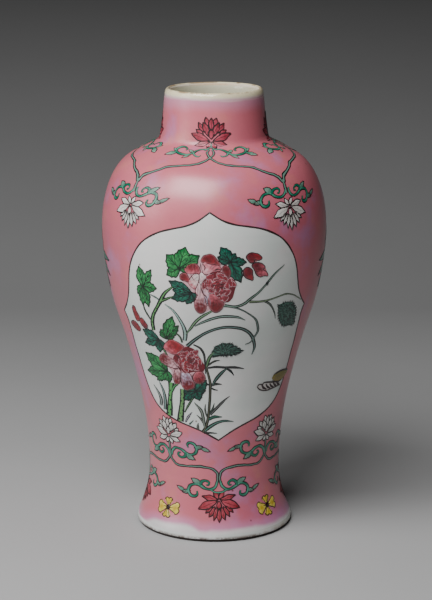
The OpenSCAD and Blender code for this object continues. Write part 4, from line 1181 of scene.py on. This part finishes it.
def eighth_round(v):
    """An eighth of the way round the vase at v: halfway between two red lotuses."""
    return skin.radius(v) * math.pi / 4


def shaded(light, dark):
    """Paint along a stroke, alternating between two greens as the brush is loaded."""
    return lambda t: light * (0.5 + 0.5 * math.sin(t * 19)) + dark * (0.5 - 0.5 * math.sin(t * 19))


def scroll(s, side, x, y, flip):
    """The acanthus scroll on one side of a stalk: a wavy stem, two curls, leaf tips."""
    def at(points):
        return [(x + side * a, y + (-b if flip else b), *c) for a, b, *c in points]
    k, rim = 0.22, tone(6, 18, 20)
    fill = shaded(JADE, EMERALD)
    s.outlined(at([(1, 11.6), (1.7, 8.8), (4.4, 6.7), (8, 7.1), (11, 9), (13.8, 9.6), (16.6, 8.6), (18, 5.8),
                   (17, 3), (14.4, 2.2), (12.7, 3.5), (12.9, 5.4)]),
               [1.7, 1.9, 2.1, 1.8, 2.4, 2, 1.9, 2.1, 2.3, 2.3, 1.9, 1.1], fill, k, rim, 0.5)
    s.outlined(at([(11, 8.6), (10, 11.2), (7.6, 12), (5.7, 10.7), (6.1, 9.2), (7.4, 9.3)]),
               [2.4, 2.2, 1.8, 1.6, 1.4, 0.9], EMERALD, k + 0.02, rim, 0.36)
    for start, tip, width in (((9.6, 9), (16.4, 12.8), 3.4), ((16.6, 5.2), (22.4, 4), 2.6),
                              ((19.4, 4.2), (26, 7.2), 2.4)):
        start, tip = at([start, tip])
        edge = loop(lobe(*start, tip, width), 0.5)
        s.patch(edge, toward(start, tip, EMERALD, tone(128, 156, 142)), k, 0.12, 0.6)
        s.ink([tuple(p) for p in edge], [0.52], k + 0.06, rim if width > 2.5 else tone(70, 24, 32), True, 0.5)


def crown_scroll(s, side, x, y):
    """The lighter scroll under a red lotus on the shoulder."""
    def at(points):
        return [(x + side * a, y + b) for a, b in points]
    k, rim = 0.22, tone(8, 20, 22)
    s.outlined(at([(0.6, -5.4), (4, -5.2), (7.6, -6.6), (10.2, -9.2), (13, -10.8), (17, -10.8), (20.2, -9),
                   (20.2, -6.2), (17.6, -4), (14.8, -4), (13.6, -6), (14.6, -7)]),
               [1.2, 1.4, 1.5, 2.2, 1.7, 2, 2.6, 2.2, 1.9, 1.9, 1.6, 1], shaded(JADE, EMERALD), k, rim, 0.5)
    s.outlined(at([(10, -9), (9, -11.4), (7, -12.4), (5.2, -11)]), [1.8, 1.4, 1.2, 0.4], JADE, k, rim, 0.36)
    for start, tip, width, line in (((9.6, -8.8), (12.4, -6.2), 2.6, rim),
                                    ((19, -8.6), (28.6, -13), 2.8, rim),
                                    ((10.6, -10), (16.8, -14.4), 2, tone(96, 34, 44)),
                                    ((19.6, -9), (22.6, -5.6), 2.4, rim)):
        edge = loop(lobe(*at([start])[0], at([tip])[0], width), 0.5)
        s.patch(edge, toward(at([start])[0], at([tip])[0], EMERALD, tone(140, 168, 150)), k, 0.12, 0.6)
        s.ink([tuple(p) for p in edge], [0.4], k + 0.06, line, True, 0.5)


def shoulder_scrolls():
    """One quarter: scrolls either side of a white lotus and of a red one."""
    s = Sheet()
    for side in (-1, 1):
        scroll(s, side, eighth_round(211), 203.2, False)
        crown_scroll(s, side, 0, 252.4)
    return s


def foot_scrolls():
    s = Sheet()
    for side in (-1, 1):
        scroll(s, side, 0, 25, False)
        scroll(s, side, eighth_round(56), 62, True)
    s.outlined([(-5, 31.4), (-2.4, 30.2), (0, 29.8), (2.4, 30.2), (5, 31.4)], [1, 1.4, 1.5, 1.4, 1], JADE,
               0.2, TWIG, 0.36)
    return s


def vine_shoulder():
    """One quarter of the shoulder vine: from the red lotus's stalk out to both forks."""
    s = Sheet()
    for side in (-1, 1):
        line = [(side * a, b) for a, b in (
            (-0.9, 246.4), (-1.8, 244), (-1.3, 241), (0.9, 238), (4.6, 234.8), (10, 232.6), (18, 231.2),
            (25, 229.6), (32, 226), (eighth_round(221) - 3.6, 222.4), (eighth_round(219) - 0.2, 218.4))]
        s.outlined(line, [1.4, 1.7, 1.8, 1.8, 1.8, 1.7, 1.7, 1.7, 1.8, 2, 2.2], VINE, 0.2, TWIG, 0.62)
    s.outlined([(eighth_round(219), 219.8), (eighth_round(216), 216), (eighth_round(212) - 0.1, 211.6)],
               [2.2, 2.3, 2], VINE, 0.23, TWIG, 0.62)
    s.outlined([(-3.4, 245.8), (-1.6, 248), (0, 249.2), (0, 251.6)], [1, 1.4, 1.7, 1.4], VINE, 0.22, TWIG,
               0.4)
    s.outlined([(3.4, 246.2), (1.6, 248), (0.1, 249.2)], [1, 1.4, 1.4], VINE, 0.22, TWIG, 0.4)
    return s


def vine_foot():
    """One quarter of the foot vine: two strands that meet above the red lotus."""
    s = Sheet()
    for side in (-1, 1):
        line = [(side * a, b) for a, b in (
            (3.4, 31.8), (1.6, 33.8), (0.8, 37), (0.7, 40), (1.7, 42.6), (5.4, 44.7), (12, 45.5), (20, 44.8),
            (eighth_round(46) - 5, 45), (eighth_round(48) - 1.4, 47.6), (eighth_round(51) - 0.2, 51))]
        s.outlined(line, [1.5, 1.7, 1.8, 1.8, 1.8, 1.8, 1.7, 1.7, 1.7, 1.8, 2], VINE, 0.2, TWIG, 0.62)
    s.outlined([(eighth_round(50), 50), (eighth_round(54), 54), (eighth_round(58), 58.4)], [2, 2.2, 1.8],
               VINE, 0.23, TWIG, 0.62)
    return s


def sprig_sheet():
    """The sprig on each side, between the panels: a pale bloom over dark-edged leaves."""
    s = Sheet()
    white = tone(180, 180, 176)
    y = 172
    for k, (turn, length, width) in enumerate(((-100, 9, 5), (100, 9, 5), (-66, 10.5, 5.4), (66, 10.5, 5.4),
                                               (-32, 11.5, 5.6), (32, 11.5, 5.6), (0, 12, 6))):
        edge = loop(petal(0, y + 1, length, width, turn, 0.55, 0.5), 0.6)
        s.patch(edge, toward((0, y), (0, y + 12), tone(168, 112, 124), white), 0.17 + 0.005 * k, 0.16, 0.7)
        s.ink([tuple(p) for p in edge], [0.56], 0.24 + 0.005 * k, tone(40, 26, 30), True)
    for side in (-1, 1):
        for dy, turn, length, width in ((-2, 96, 23, 4.8), (-5, 114, 22, 5), (-9, 132, 19, 5),
                                        (-14, 146, 13, 4.2)):
            edge = loop(petal(0, y + dy, length, width, side * turn, 0.5, 0.7), 0.6)
            s.patch(edge, streaked((0, y + dy), JADE * 0.7, EMERALD * 0.8), 0.17, 0.14, 0.7)
            s.ink([tuple(p) for p in edge], [0.5], 0.25, tone(14, 34, 32), True)
            a = math.radians(side * turn)
            s.ink([(0, y + dy), (0.9 * length * math.sin(a), y + dy + 0.9 * length * math.cos(a))],
                  [0.3, 0.24, 0.1], 0.28, tone(12, 40, 34))
    s.outlined([(0, y + 1), (0.6, y - 8), (-0.4, y - 16), (0.8, y - 25)], [1.4, 1.5, 1.4, 0.5], VINE, 0.2,
               TWIG, 0.36)
    return s


# ---------------------------------------------------------------- geometry nodes
def lathe_group():
    """Turns a drawn profile round the axis: Geometry, Segments, Material."""
    g = bpy.data.node_groups.new("Turn on the wheel", "GeometryNodeTree")
    g.interface.new_socket("Profile", in_out="INPUT", socket_type="NodeSocketGeometry")
    g.interface.new_socket("Segments", in_out="INPUT", socket_type="NodeSocketInt")
    g.interface.new_socket("Core Radius", in_out="INPUT", socket_type="NodeSocketFloat")
    g.interface.new_socket("Material", in_out="INPUT", socket_type="NodeSocketMaterial")
    g.interface.new_socket("Geometry", in_out="OUTPUT", socket_type="NodeSocketGeometry")
    n, link = g.nodes, g.links
    i, o = n.new("NodeGroupInput"), n.new("NodeGroupOutput")
    curve = n.new("GeometryNodeMeshToCurve")
    link.new(i.outputs["Profile"], curve.inputs["Mesh"])
    ring = n.new("GeometryNodeCurvePrimitiveCircle")
    link.new(i.outputs["Segments"], ring.inputs["Resolution"])
    link.new(i.outputs["Core Radius"], ring.inputs["Radius"])
    sweep = n.new("GeometryNodeCurveToMesh")
    link.new(ring.outputs["Curve"], sweep.inputs["Curve"])
    link.new(curve.outputs["Curve"], sweep.inputs["Profile Curve"])
    weld = n.new("GeometryNodeMergeByDistance")
    weld.inputs["Distance"].default_value = 1e-6
    link.new(sweep.outputs["Mesh"], weld.inputs["Geometry"])
    real = n.new("GeometryNodeRealizeInstances")
    link.new(weld.outputs["Geometry"], real.inputs["Geometry"])
    paint = n.new("GeometryNodeSetMaterial")
    link.new(real.outputs["Geometry"], paint.inputs["Geometry"])
    link.new(i.outputs["Material"], paint.inputs["Material"])
    link.new(paint.outputs["Geometry"], o.inputs["Geometry"])
    return g


def quarters_group():
    """Repeats a painted motif round the axis: Count copies, the first one turned."""
    g = bpy.data.node_groups.new("Repeat round the axis", "GeometryNodeTree")
    g.interface.new_socket("Motif", in_out="INPUT", socket_type="NodeSocketGeometry")
    g.interface.new_socket("Count", in_out="INPUT", socket_type="NodeSocketInt")
    g.interface.new_socket("First Turn", in_out="INPUT", socket_type="NodeSocketFloat")
    g.interface.new_socket("Material", in_out="INPUT", socket_type="NodeSocketMaterial")
    g.interface.new_socket("Geometry", in_out="OUTPUT", socket_type="NodeSocketGeometry")
    n, link = g.nodes, g.links
    i, o = n.new("NodeGroupInput"), n.new("NodeGroupOutput")
    points = n.new("GeometryNodePoints")
    link.new(i.outputs["Count"], points.inputs["Count"])
    step = n.new("ShaderNodeMath")
    step.operation = "DIVIDE"
    step.inputs[0].default_value = math.tau
    link.new(i.outputs["Count"], step.inputs[1])
    angle = n.new("ShaderNodeMath")
    angle.operation = "MULTIPLY_ADD"
    link.new(n.new("GeometryNodeInputIndex").outputs[0], angle.inputs[0])
    link.new(step.outputs[0], angle.inputs[1])
    link.new(i.outputs["First Turn"], angle.inputs[2])
    euler = n.new("ShaderNodeCombineXYZ")
    link.new(angle.outputs[0], euler.inputs["Z"])
    turn = n.new("FunctionNodeEulerToRotation")
    link.new(euler.outputs[0], turn.inputs[0])
    copies = n.new("GeometryNodeInstanceOnPoints")
    link.new(points.outputs[0], copies.inputs["Points"])
    link.new(i.outputs["Motif"], copies.inputs["Instance"])
    link.new(turn.outputs[0], copies.inputs["Rotation"])
    real = n.new("GeometryNodeRealizeInstances")
    link.new(copies.outputs[0], real.inputs["Geometry"])
    paint = n.new("GeometryNodeSetMaterial")
    link.new(real.outputs["Geometry"], paint.inputs["Geometry"])
    link.new(i.outputs["Material"], paint.inputs["Material"])
    link.new(paint.outputs["Geometry"], o.inputs["Geometry"])
    return g


def run_group(obj, group, **values):
    """Runs a node group on an object and keeps the result as a plain mesh."""
    mod = obj.modifiers.new("nodes", "NODES")
    mod.node_group = group
    for item in group.interface.items_tree:
        if item.item_type == "SOCKET" and item.in_out == "INPUT" and item.name in values:
            mod[item.identifier] = values[item.name]
    bpy.context.view_layer.update()
    graph = bpy.context.evaluated_depsgraph_get()
    mesh = bpy.data.meshes.new_from_object(obj.evaluated_get(graph), preserve_all_data_layers=True,
                                           depsgraph=graph)
    mesh.name = obj.name
    obj.modifiers.clear()
    obj.data = mesh
    for p in mesh.polygons:
        p.use_smooth = True
    return obj


LATHE = lathe_group()
QUARTERS = quarters_group()


def turned(name, profile, material, want):
    """A lathe-turned skin from (radius, height) pairs in mm. want says which way a
    face near the first points should look: +1 away from the axis, -1 towards it."""
    core = 0.001
    mesh = bpy.data.meshes.new(name)
    mesh.from_pydata([(r * MM - core, -z * MM, 0.0) for r, z in profile],
                     [(k, k + 1) for k in range(len(profile) - 1)], [])
    obj = bpy.data.objects.new(name, mesh)
    bpy.context.scene.collection.objects.link(obj)
    run_group(obj, LATHE, **{"Segments": 224, "Core Radius": core, "Material": material})
    mesh = obj.data
    widest = max(mesh.polygons, key=lambda p: abs(p.normal.x * p.center.x + p.normal.y * p.center.y)
                 / max(math.hypot(p.center.x, p.center.y), 1e-9))
    out = widest.normal.x * widest.center.x + widest.normal.y * widest.center.y
    if out * want < 0:
        mesh.flip_normals()
    return obj


# ---------------------------------------------------------------- pieces
def hand_in(obj, nodes, slot_name, material=None):
    if material is not None:
        obj.data.materials.clear()
        obj.data.materials.append(material)
    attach(obj, "root")
    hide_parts(*nodes)
    return obj


def lip(start, end, steps=14):
    """The lip's rounded crest between two angles, 0 outside and 180 inside."""
    r = (skin.lip_r - skin.bore) / 2
    return [(skin.bore + r + r * math.cos(math.radians(a)),
             skin.lip_z + (TOP - skin.lip_z) * math.sin(math.radians(a)))
            for a in np.linspace(start, end, steps)]


def outside_skin(glaze):
    every = int(1.0 / SKIN_STEP)
    rows = list(zip(skin.r[::every], skin.z[::every]))
    bead = [(rows[0][0] - 0.28 * skin.nr[0], rows[0][1] - 0.02), (rows[0][0] - 0.08, rows[0][1] - 0.06)]
    obj = turned("outside_glaze_skin", bead + rows[:-1] + lip(0, 90), glaze, 1)
    return hand_in(obj, ["outside_glaze"], "clear_glaze")


def inside_skin(glaze):
    tree = tree_of("inside_glaze")
    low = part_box("inside_glaze")[0].z / MM
    heights = np.arange(low + 0.7, skin.lip_z - 16, 1.5)
    radii = np.array([hit_radius(tree, z, True) for z in heights])
    radii[1:-1] = 0.25 * radii[:-2] + 0.5 * radii[1:-1] + 0.25 * radii[2:]
    floor = [(0.0, low + 0.3), (8, low + 0.3), (16, low + 0.3), (23, low + 0.3), (27, low + 0.36)]
    walls = list(zip(radii, heights))
    neck = [(skin.bore, z) for z in np.arange(skin.lip_z - 14, skin.lip_z - 0.5, 1.5)]
    profile = lip(90, 180) + neck[::-1] + walls[::-1] + floor[::-1]
    obj = turned("inside_glaze_skin", profile, glaze, -1)
    return hand_in(obj, ["inside_glaze"], "clear_glaze")


def base_skin(glaze):
    low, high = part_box("base_glaze")
    wall, top = high.x / MM - 0.3, high.z / MM - 0.3
    turn = [(wall - 2 + 2 * math.cos(a), top - 2 + 2 * math.sin(a)) for a in np.linspace(0, math.pi / 2, 8)]
    profile = [(wall + 0.26, low.z / MM), (wall + 0.05, low.z / MM + 0.05)] + turn + [
        (wall * k, top) for k in (0.9, 0.7, 0.5, 0.3, 0.12)] + [(0.0, top)]
    obj = turned("base_glaze_skin", profile, glaze, -1)
    return hand_in(obj, ["base_glaze"], "clear_glaze")


def ground_skin(rose):
    """The rose ground: a coat over the whole outside with a window for each panel."""
    around = 50.0
    windows = []
    for back in (False, True):
        loops = []
        for u, v in OUTLINE:
            a = u / skin.radius(v)
            loops.append(((math.pi - a if back else a) * around, v))
        windows.append(np.array(loops))
    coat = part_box("rose_ground")
    low = float(np.interp(coat[0].z / MM + 0.2, skin.z, skin.v))
    high = float(np.interp(coat[1].z / MM - 0.2, skin.z, skin.v))
    first, last = -math.pi / 2 * around, math.pi * 1.5 * around
    cols, rows = 232, 124
    grid = []
    for v in np.linspace(low, high, rows):
        for k in range(cols + 1):
            grid.append((first + (last - first) * k / cols, v))
    grid = np.array(grid)
    keep = np.ones(len(grid), bool)
    for w in windows:
        near = (grid[:, 0] > w[:, 0].min() - 3) & (grid[:, 0] < w[:, 0].max() + 3) & (
            grid[:, 1] > w[:, 1].min() - 3) & (grid[:, 1] < w[:, 1].max() + 3)
        idx = np.nonzero(near)[0]
        for part in np.array_split(idx, max(1, len(idx) // 400)):
            close = edge_distance(w, grid[part]) < WINDOW_GAP
            within = np.array([inside(w, x, y) for x, y in grid[part]])
            keep[part[close | within]] = False
    points = [Vector(p) for p in grid[keep]]
    edges = []
    for w in windows:
        start = len(points)
        points.extend(Vector(p) for p in w)
        edges += [(start + k, start + (k + 1) % len(w)) for k in range(len(w))]
    verts, _, faces, *_ = geometry.delaunay_2d_cdt(points, edges, [], 0, 1e-5, False)
    flat = np.array([(p.x, p.y) for p in verts])
    kept = []
    for f in faces:
        c = flat[list(f)].mean(0)
        if not any(inside(w, c[0], c[1]) for w in windows):
            kept.append(tuple(f))
    off = np.full(len(flat), 9.0)
    for w in windows:
        for part in np.array_split(np.arange(len(flat)), 40):
            off[part] = np.minimum(off[part], edge_distance(w, flat[part]))
    ends = np.clip(np.minimum(flat[:, 1] - low, high - flat[:, 1]) / GROUND_END, 0, 1)
    rise = 0.012 + 0.125 * np.clip(off / GROUND_EDGE, 0, 1) * ends
    u = flat[:, 0] / around * np.interp(flat[:, 1], skin.v, skin.r)
    co = skin.place(u, flat[:, 1], rise)
    mesh = bpy.data.meshes.new("rose_ground_skin")
    mesh.from_pydata([tuple(c) for c in co], [], kept)
    b = bmesh.new()
    b.from_mesh(mesh)
    bmesh.ops.remove_doubles(b, verts=b.verts, dist=2e-6)
    b.to_mesh(mesh)
    b.free()
    face_outwards(mesh)
    normals = []
    for vert in mesh.vertices:
        k = int(np.argmin(np.abs(skin.z - vert.co.z / MM)))
        r = math.hypot(vert.co.x, vert.co.y)
        normals.append((vert.co.x / r * skin.nr[k], vert.co.y / r * skin.nr[k], skin.nz[k]))
    mesh.normals_split_custom_set_from_vertices(normals)
    obj = bpy.data.objects.new("rose_ground_skin", mesh)
    bpy.context.scene.collection.objects.link(obj)
    return hand_in(obj, ["rose_ground"], "rose_enamel", rose)


def panel_pieces(mats):
    """Both panels: the front one as painted, the back one its mirror image."""
    jobs = [("panel_border", border_sheet, "drawn_line_enamel"), ("peonies", petal_sheet, "peony_enamel"),
            ("peony_hearts", heart_sheet, "peony_heart_enamel"), ("leaves", leaf_sheet, "leaf_enamel"),
            ("stems_and_grass", stem_sheet, "grass_enamel"),
            ("seed_heads", seed_head_sheet, "seed_head_enamel"),
            ("bird", bird_sheet, "bird_enamel")]
    for name, make, slot_name in jobs:
        sheet = make()
        for side, turn in (("front", 0), ("back", 180)):
            obj = sheet.build(f"{side}_{name}_painting", turn, side == "back")
            hand_in(obj, [f"{side}_{name}"], slot_name, mats[slot_name])


def border_pieces(mats):
    """The flower borders: one motif each, repeated round the axis."""
    jobs = [
        ("shoulder_rose_lotuses", red_lotus_shoulder, SHOULDER_TURN, "red_lotus_enamel", 4),
        ("shoulder_white_lotuses", white_lotus_shoulder, SHOULDER_TURN + 45, "white_lotus_enamel", 4),
        ("shoulder_vine", vine_shoulder, SHOULDER_TURN, "vine_enamel", 4),
        ("shoulder_scrolls", shoulder_scrolls, SHOULDER_TURN, "scroll_enamel", 4),
        ("foot_white_lotuses", white_lotus_foot, FOOT_TURN + 45, "white_lotus_enamel", 4),
        ("foot_rose_lotuses", red_lotus_foot, FOOT_TURN, "red_lotus_enamel", 4),
        ("foot_vine", vine_foot, FOOT_TURN, "vine_enamel", 4),
        ("foot_scrolls", foot_scrolls, FOOT_TURN, "scroll_enamel", 4),
        ("yellow_florets", floret_sheet, FOOT_TURN + 45, "yellow_enamel", 4),
        ("side_sprigs", sprig_sheet, 90, "scroll_enamel", 2)]
    for name, make, turn, slot_name, count in jobs:
        obj = make().build(name + "_painting", 0.0, False, 0.35)
        run_group(obj, QUARTERS, **{"Count": count, "First Turn": math.radians(turn),
                                    "Material": mats[slot_name]})
        hand_in(obj, [name], slot_name)


def dress_body():
    """The paste and slip that stay as modelled: bare at the foot ring only."""
    paste = biscuit("porcelain_paste", tone(206, 182, 150))
    slip = biscuit("luting_slip", tone(198, 176, 148))
    for name, mat in (("lower_body", paste), ("upper_body", paste), ("neck", paste),
                      ("body_seam_slip", slip), ("neck_seam_slip", slip)):
        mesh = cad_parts[name].data
        mesh.materials.clear()
        mesh.materials.append(mat)


def build_vase():
    glaze, rose = clear_glaze(), rose_enamel()
    mats = {
        "drawn_line_enamel": painted_enamel("drawn_line_enamel", 0.5, 0.3, 0.4),
        "peony_enamel": painted_enamel("peony_enamel", 0.35, 0.3, 0.2),
        "peony_heart_enamel": painted_enamel("peony_heart_enamel", 0.5, 0.4, 0.24),
        "leaf_enamel": painted_enamel("leaf_enamel", 0.5, 0.3, 0.14),
        "grass_enamel": painted_enamel("grass_enamel", 0.5, 0.25, 0.2),
        "seed_head_enamel": painted_enamel("seed_head_enamel", 0.5, 0.4, 0.22),
        "bird_enamel": painted_enamel("bird_enamel", 0.4, 0.3, 0.26),
        "red_lotus_enamel": painted_enamel("red_lotus_enamel", 0.5, 0.4, 0.46, 0.6, 0.06),
        "white_lotus_enamel": painted_enamel("white_lotus_enamel", 0.14, 0.08, 0.28),
        "vine_enamel": painted_enamel("vine_enamel", 0.3, 0.2, 0.26),
        "scroll_enamel": painted_enamel("scroll_enamel", 0.4, 0.2, 0.18),
        "yellow_enamel": painted_enamel("yellow_enamel", 0.3, 0.2, 0.24),
    }
    outside_skin(glaze)
    inside_skin(glaze)
    base_skin(glaze)
    ground_skin(rose)
    panel_pieces(mats)
    border_pieces(mats)
    dress_body()


# ---------------------------------------------------------------- stage
def stage():
    """A pale floor that sweeps up into a plain backdrop, painted darker with distance as a painted shade
    for the light falling off. From behind and below it is clear, so the vase can be looked at from every
    side."""
    half_width, top, cove_start, cove = 2.4, 2.4, 0.55, 0.5
    rows = [(-1.6, 0.0), (0.0, 0.0), (0.3, 0.0), (cove_start, 0.0)]
    rows += [(cove_start + cove * math.sin(a), cove - cove * math.cos(a))
             for a in np.linspace(0.1, math.pi / 2, 14)]
    rows += [(cove_start + cove, top)]
    verts = [(x, y, z) for y, z in rows for x in (-half_width, half_width)]
    faces = [(2 * k, 2 * k + 1, 2 * k + 3, 2 * k + 2) for k in range(len(rows) - 1)]
    mesh = bpy.data.meshes.new("floor")
    mesh.from_pydata(verts, [], faces)
    for p in mesh.polygons:
        p.use_smooth = True
    obj = bpy.data.objects.new("floor", mesh)
    bpy.context.scene.collection.objects.link(obj)
    s = Surface("floor_paper")
    t = s.tree
    parts = t.nodes.new("ShaderNodeSeparateXYZ")
    t.links.new(s.where, parts.inputs[0])
    along = math_node(t, "ADD", parts.outputs["Y"], math_node(t, "MULTIPLY", parts.outputs["Z"], 3.0))
    # painted shade: the paper's colour darkens with distance, standing in for the light falling off
    painted_falloff_ramp = t.nodes.new("ShaderNodeMapRange")
    painted_falloff_ramp.inputs["From Min"].default_value = -0.5
    painted_falloff_ramp.inputs["From Max"].default_value = 1.7
    t.links.new(along, painted_falloff_ramp.inputs["Value"])
    grain = noise_node(t, s.where, 9.0, 3.0, 0.5).outputs["Fac"]
    pale = blend_colours(t, grain, tone(178, 178, 178), tone(184, 184, 184))
    far = math_node(t, "POWER", painted_falloff_ramp.outputs["Result"], 1.5)
    s.colour(blend_colours(t, far, pale, tone(78, 78, 78)))
    s.gloss(0.8, 0.0)
    behind = t.nodes.new("ShaderNodeNewGeometry").outputs["Backfacing"]
    see_through = t.nodes.new("ShaderNodeBsdfTransparent")
    mix = t.nodes.new("ShaderNodeMixShader")
    t.links.new(behind, mix.inputs[0])
    t.links.new(s.shader.outputs[0], mix.inputs[1])
    t.links.new(see_through.outputs[0], mix.inputs[2])
    t.links.new(mix.outputs[0], t.nodes["Material Output"].inputs["Surface"])
    mesh.materials.append(s.material)


def softbox(name, place, target, size, power, colour=(1, 1, 1)):
    data = bpy.data.lights.new(name, "AREA")
    data.shape = "RECTANGLE"
    data.size, data.size_y = size
    data.energy = power
    data.color = colour
    obj = bpy.data.objects.new(name, data)
    obj.location = place
    obj.rotation_euler = (Vector(target) - Vector(place)).to_track_quat("-Z", "Y").to_euler()
    bpy.context.scene.collection.objects.link(obj)


def lights():
    softbox("key", (-0.28, -0.5, 0.84), (0, 0, 0.2), (0.66, 0.46), 11.4)
    softbox("side", (-1.05, -0.36, 0.7), (0, 0, 0.16), (0.6, 0.8), 5.5)
    world = bpy.data.worlds.new("studio")
    world.use_nodes = True
    world.node_tree.nodes["Background"].inputs["Color"].default_value = (0.5, 0.5, 0.51, 1)
    world.node_tree.nodes["Background"].inputs["Strength"].default_value = 0.02
    bpy.context.scene.world = world


def camera():
    """A long lens a little above the vase, tilted down at it; the lens is in mm."""
    sensor, lens = 36, 120.108
    data = bpy.data.cameras.new("camera")
    data.sensor_width = sensor
    data.sensor_fit = "AUTO"
    data.lens = lens
    data.dof.use_dof = False
    obj = bpy.data.objects.new("camera", data)
    obj.location = (0.00106, -1.15, 0.4018)
    obj.rotation_euler = (math.radians(76.91), 0, 0)
    bpy.context.scene.collection.objects.link(obj)
    bpy.context.scene.camera = obj


build_vase()
stage()
lights()
camera()
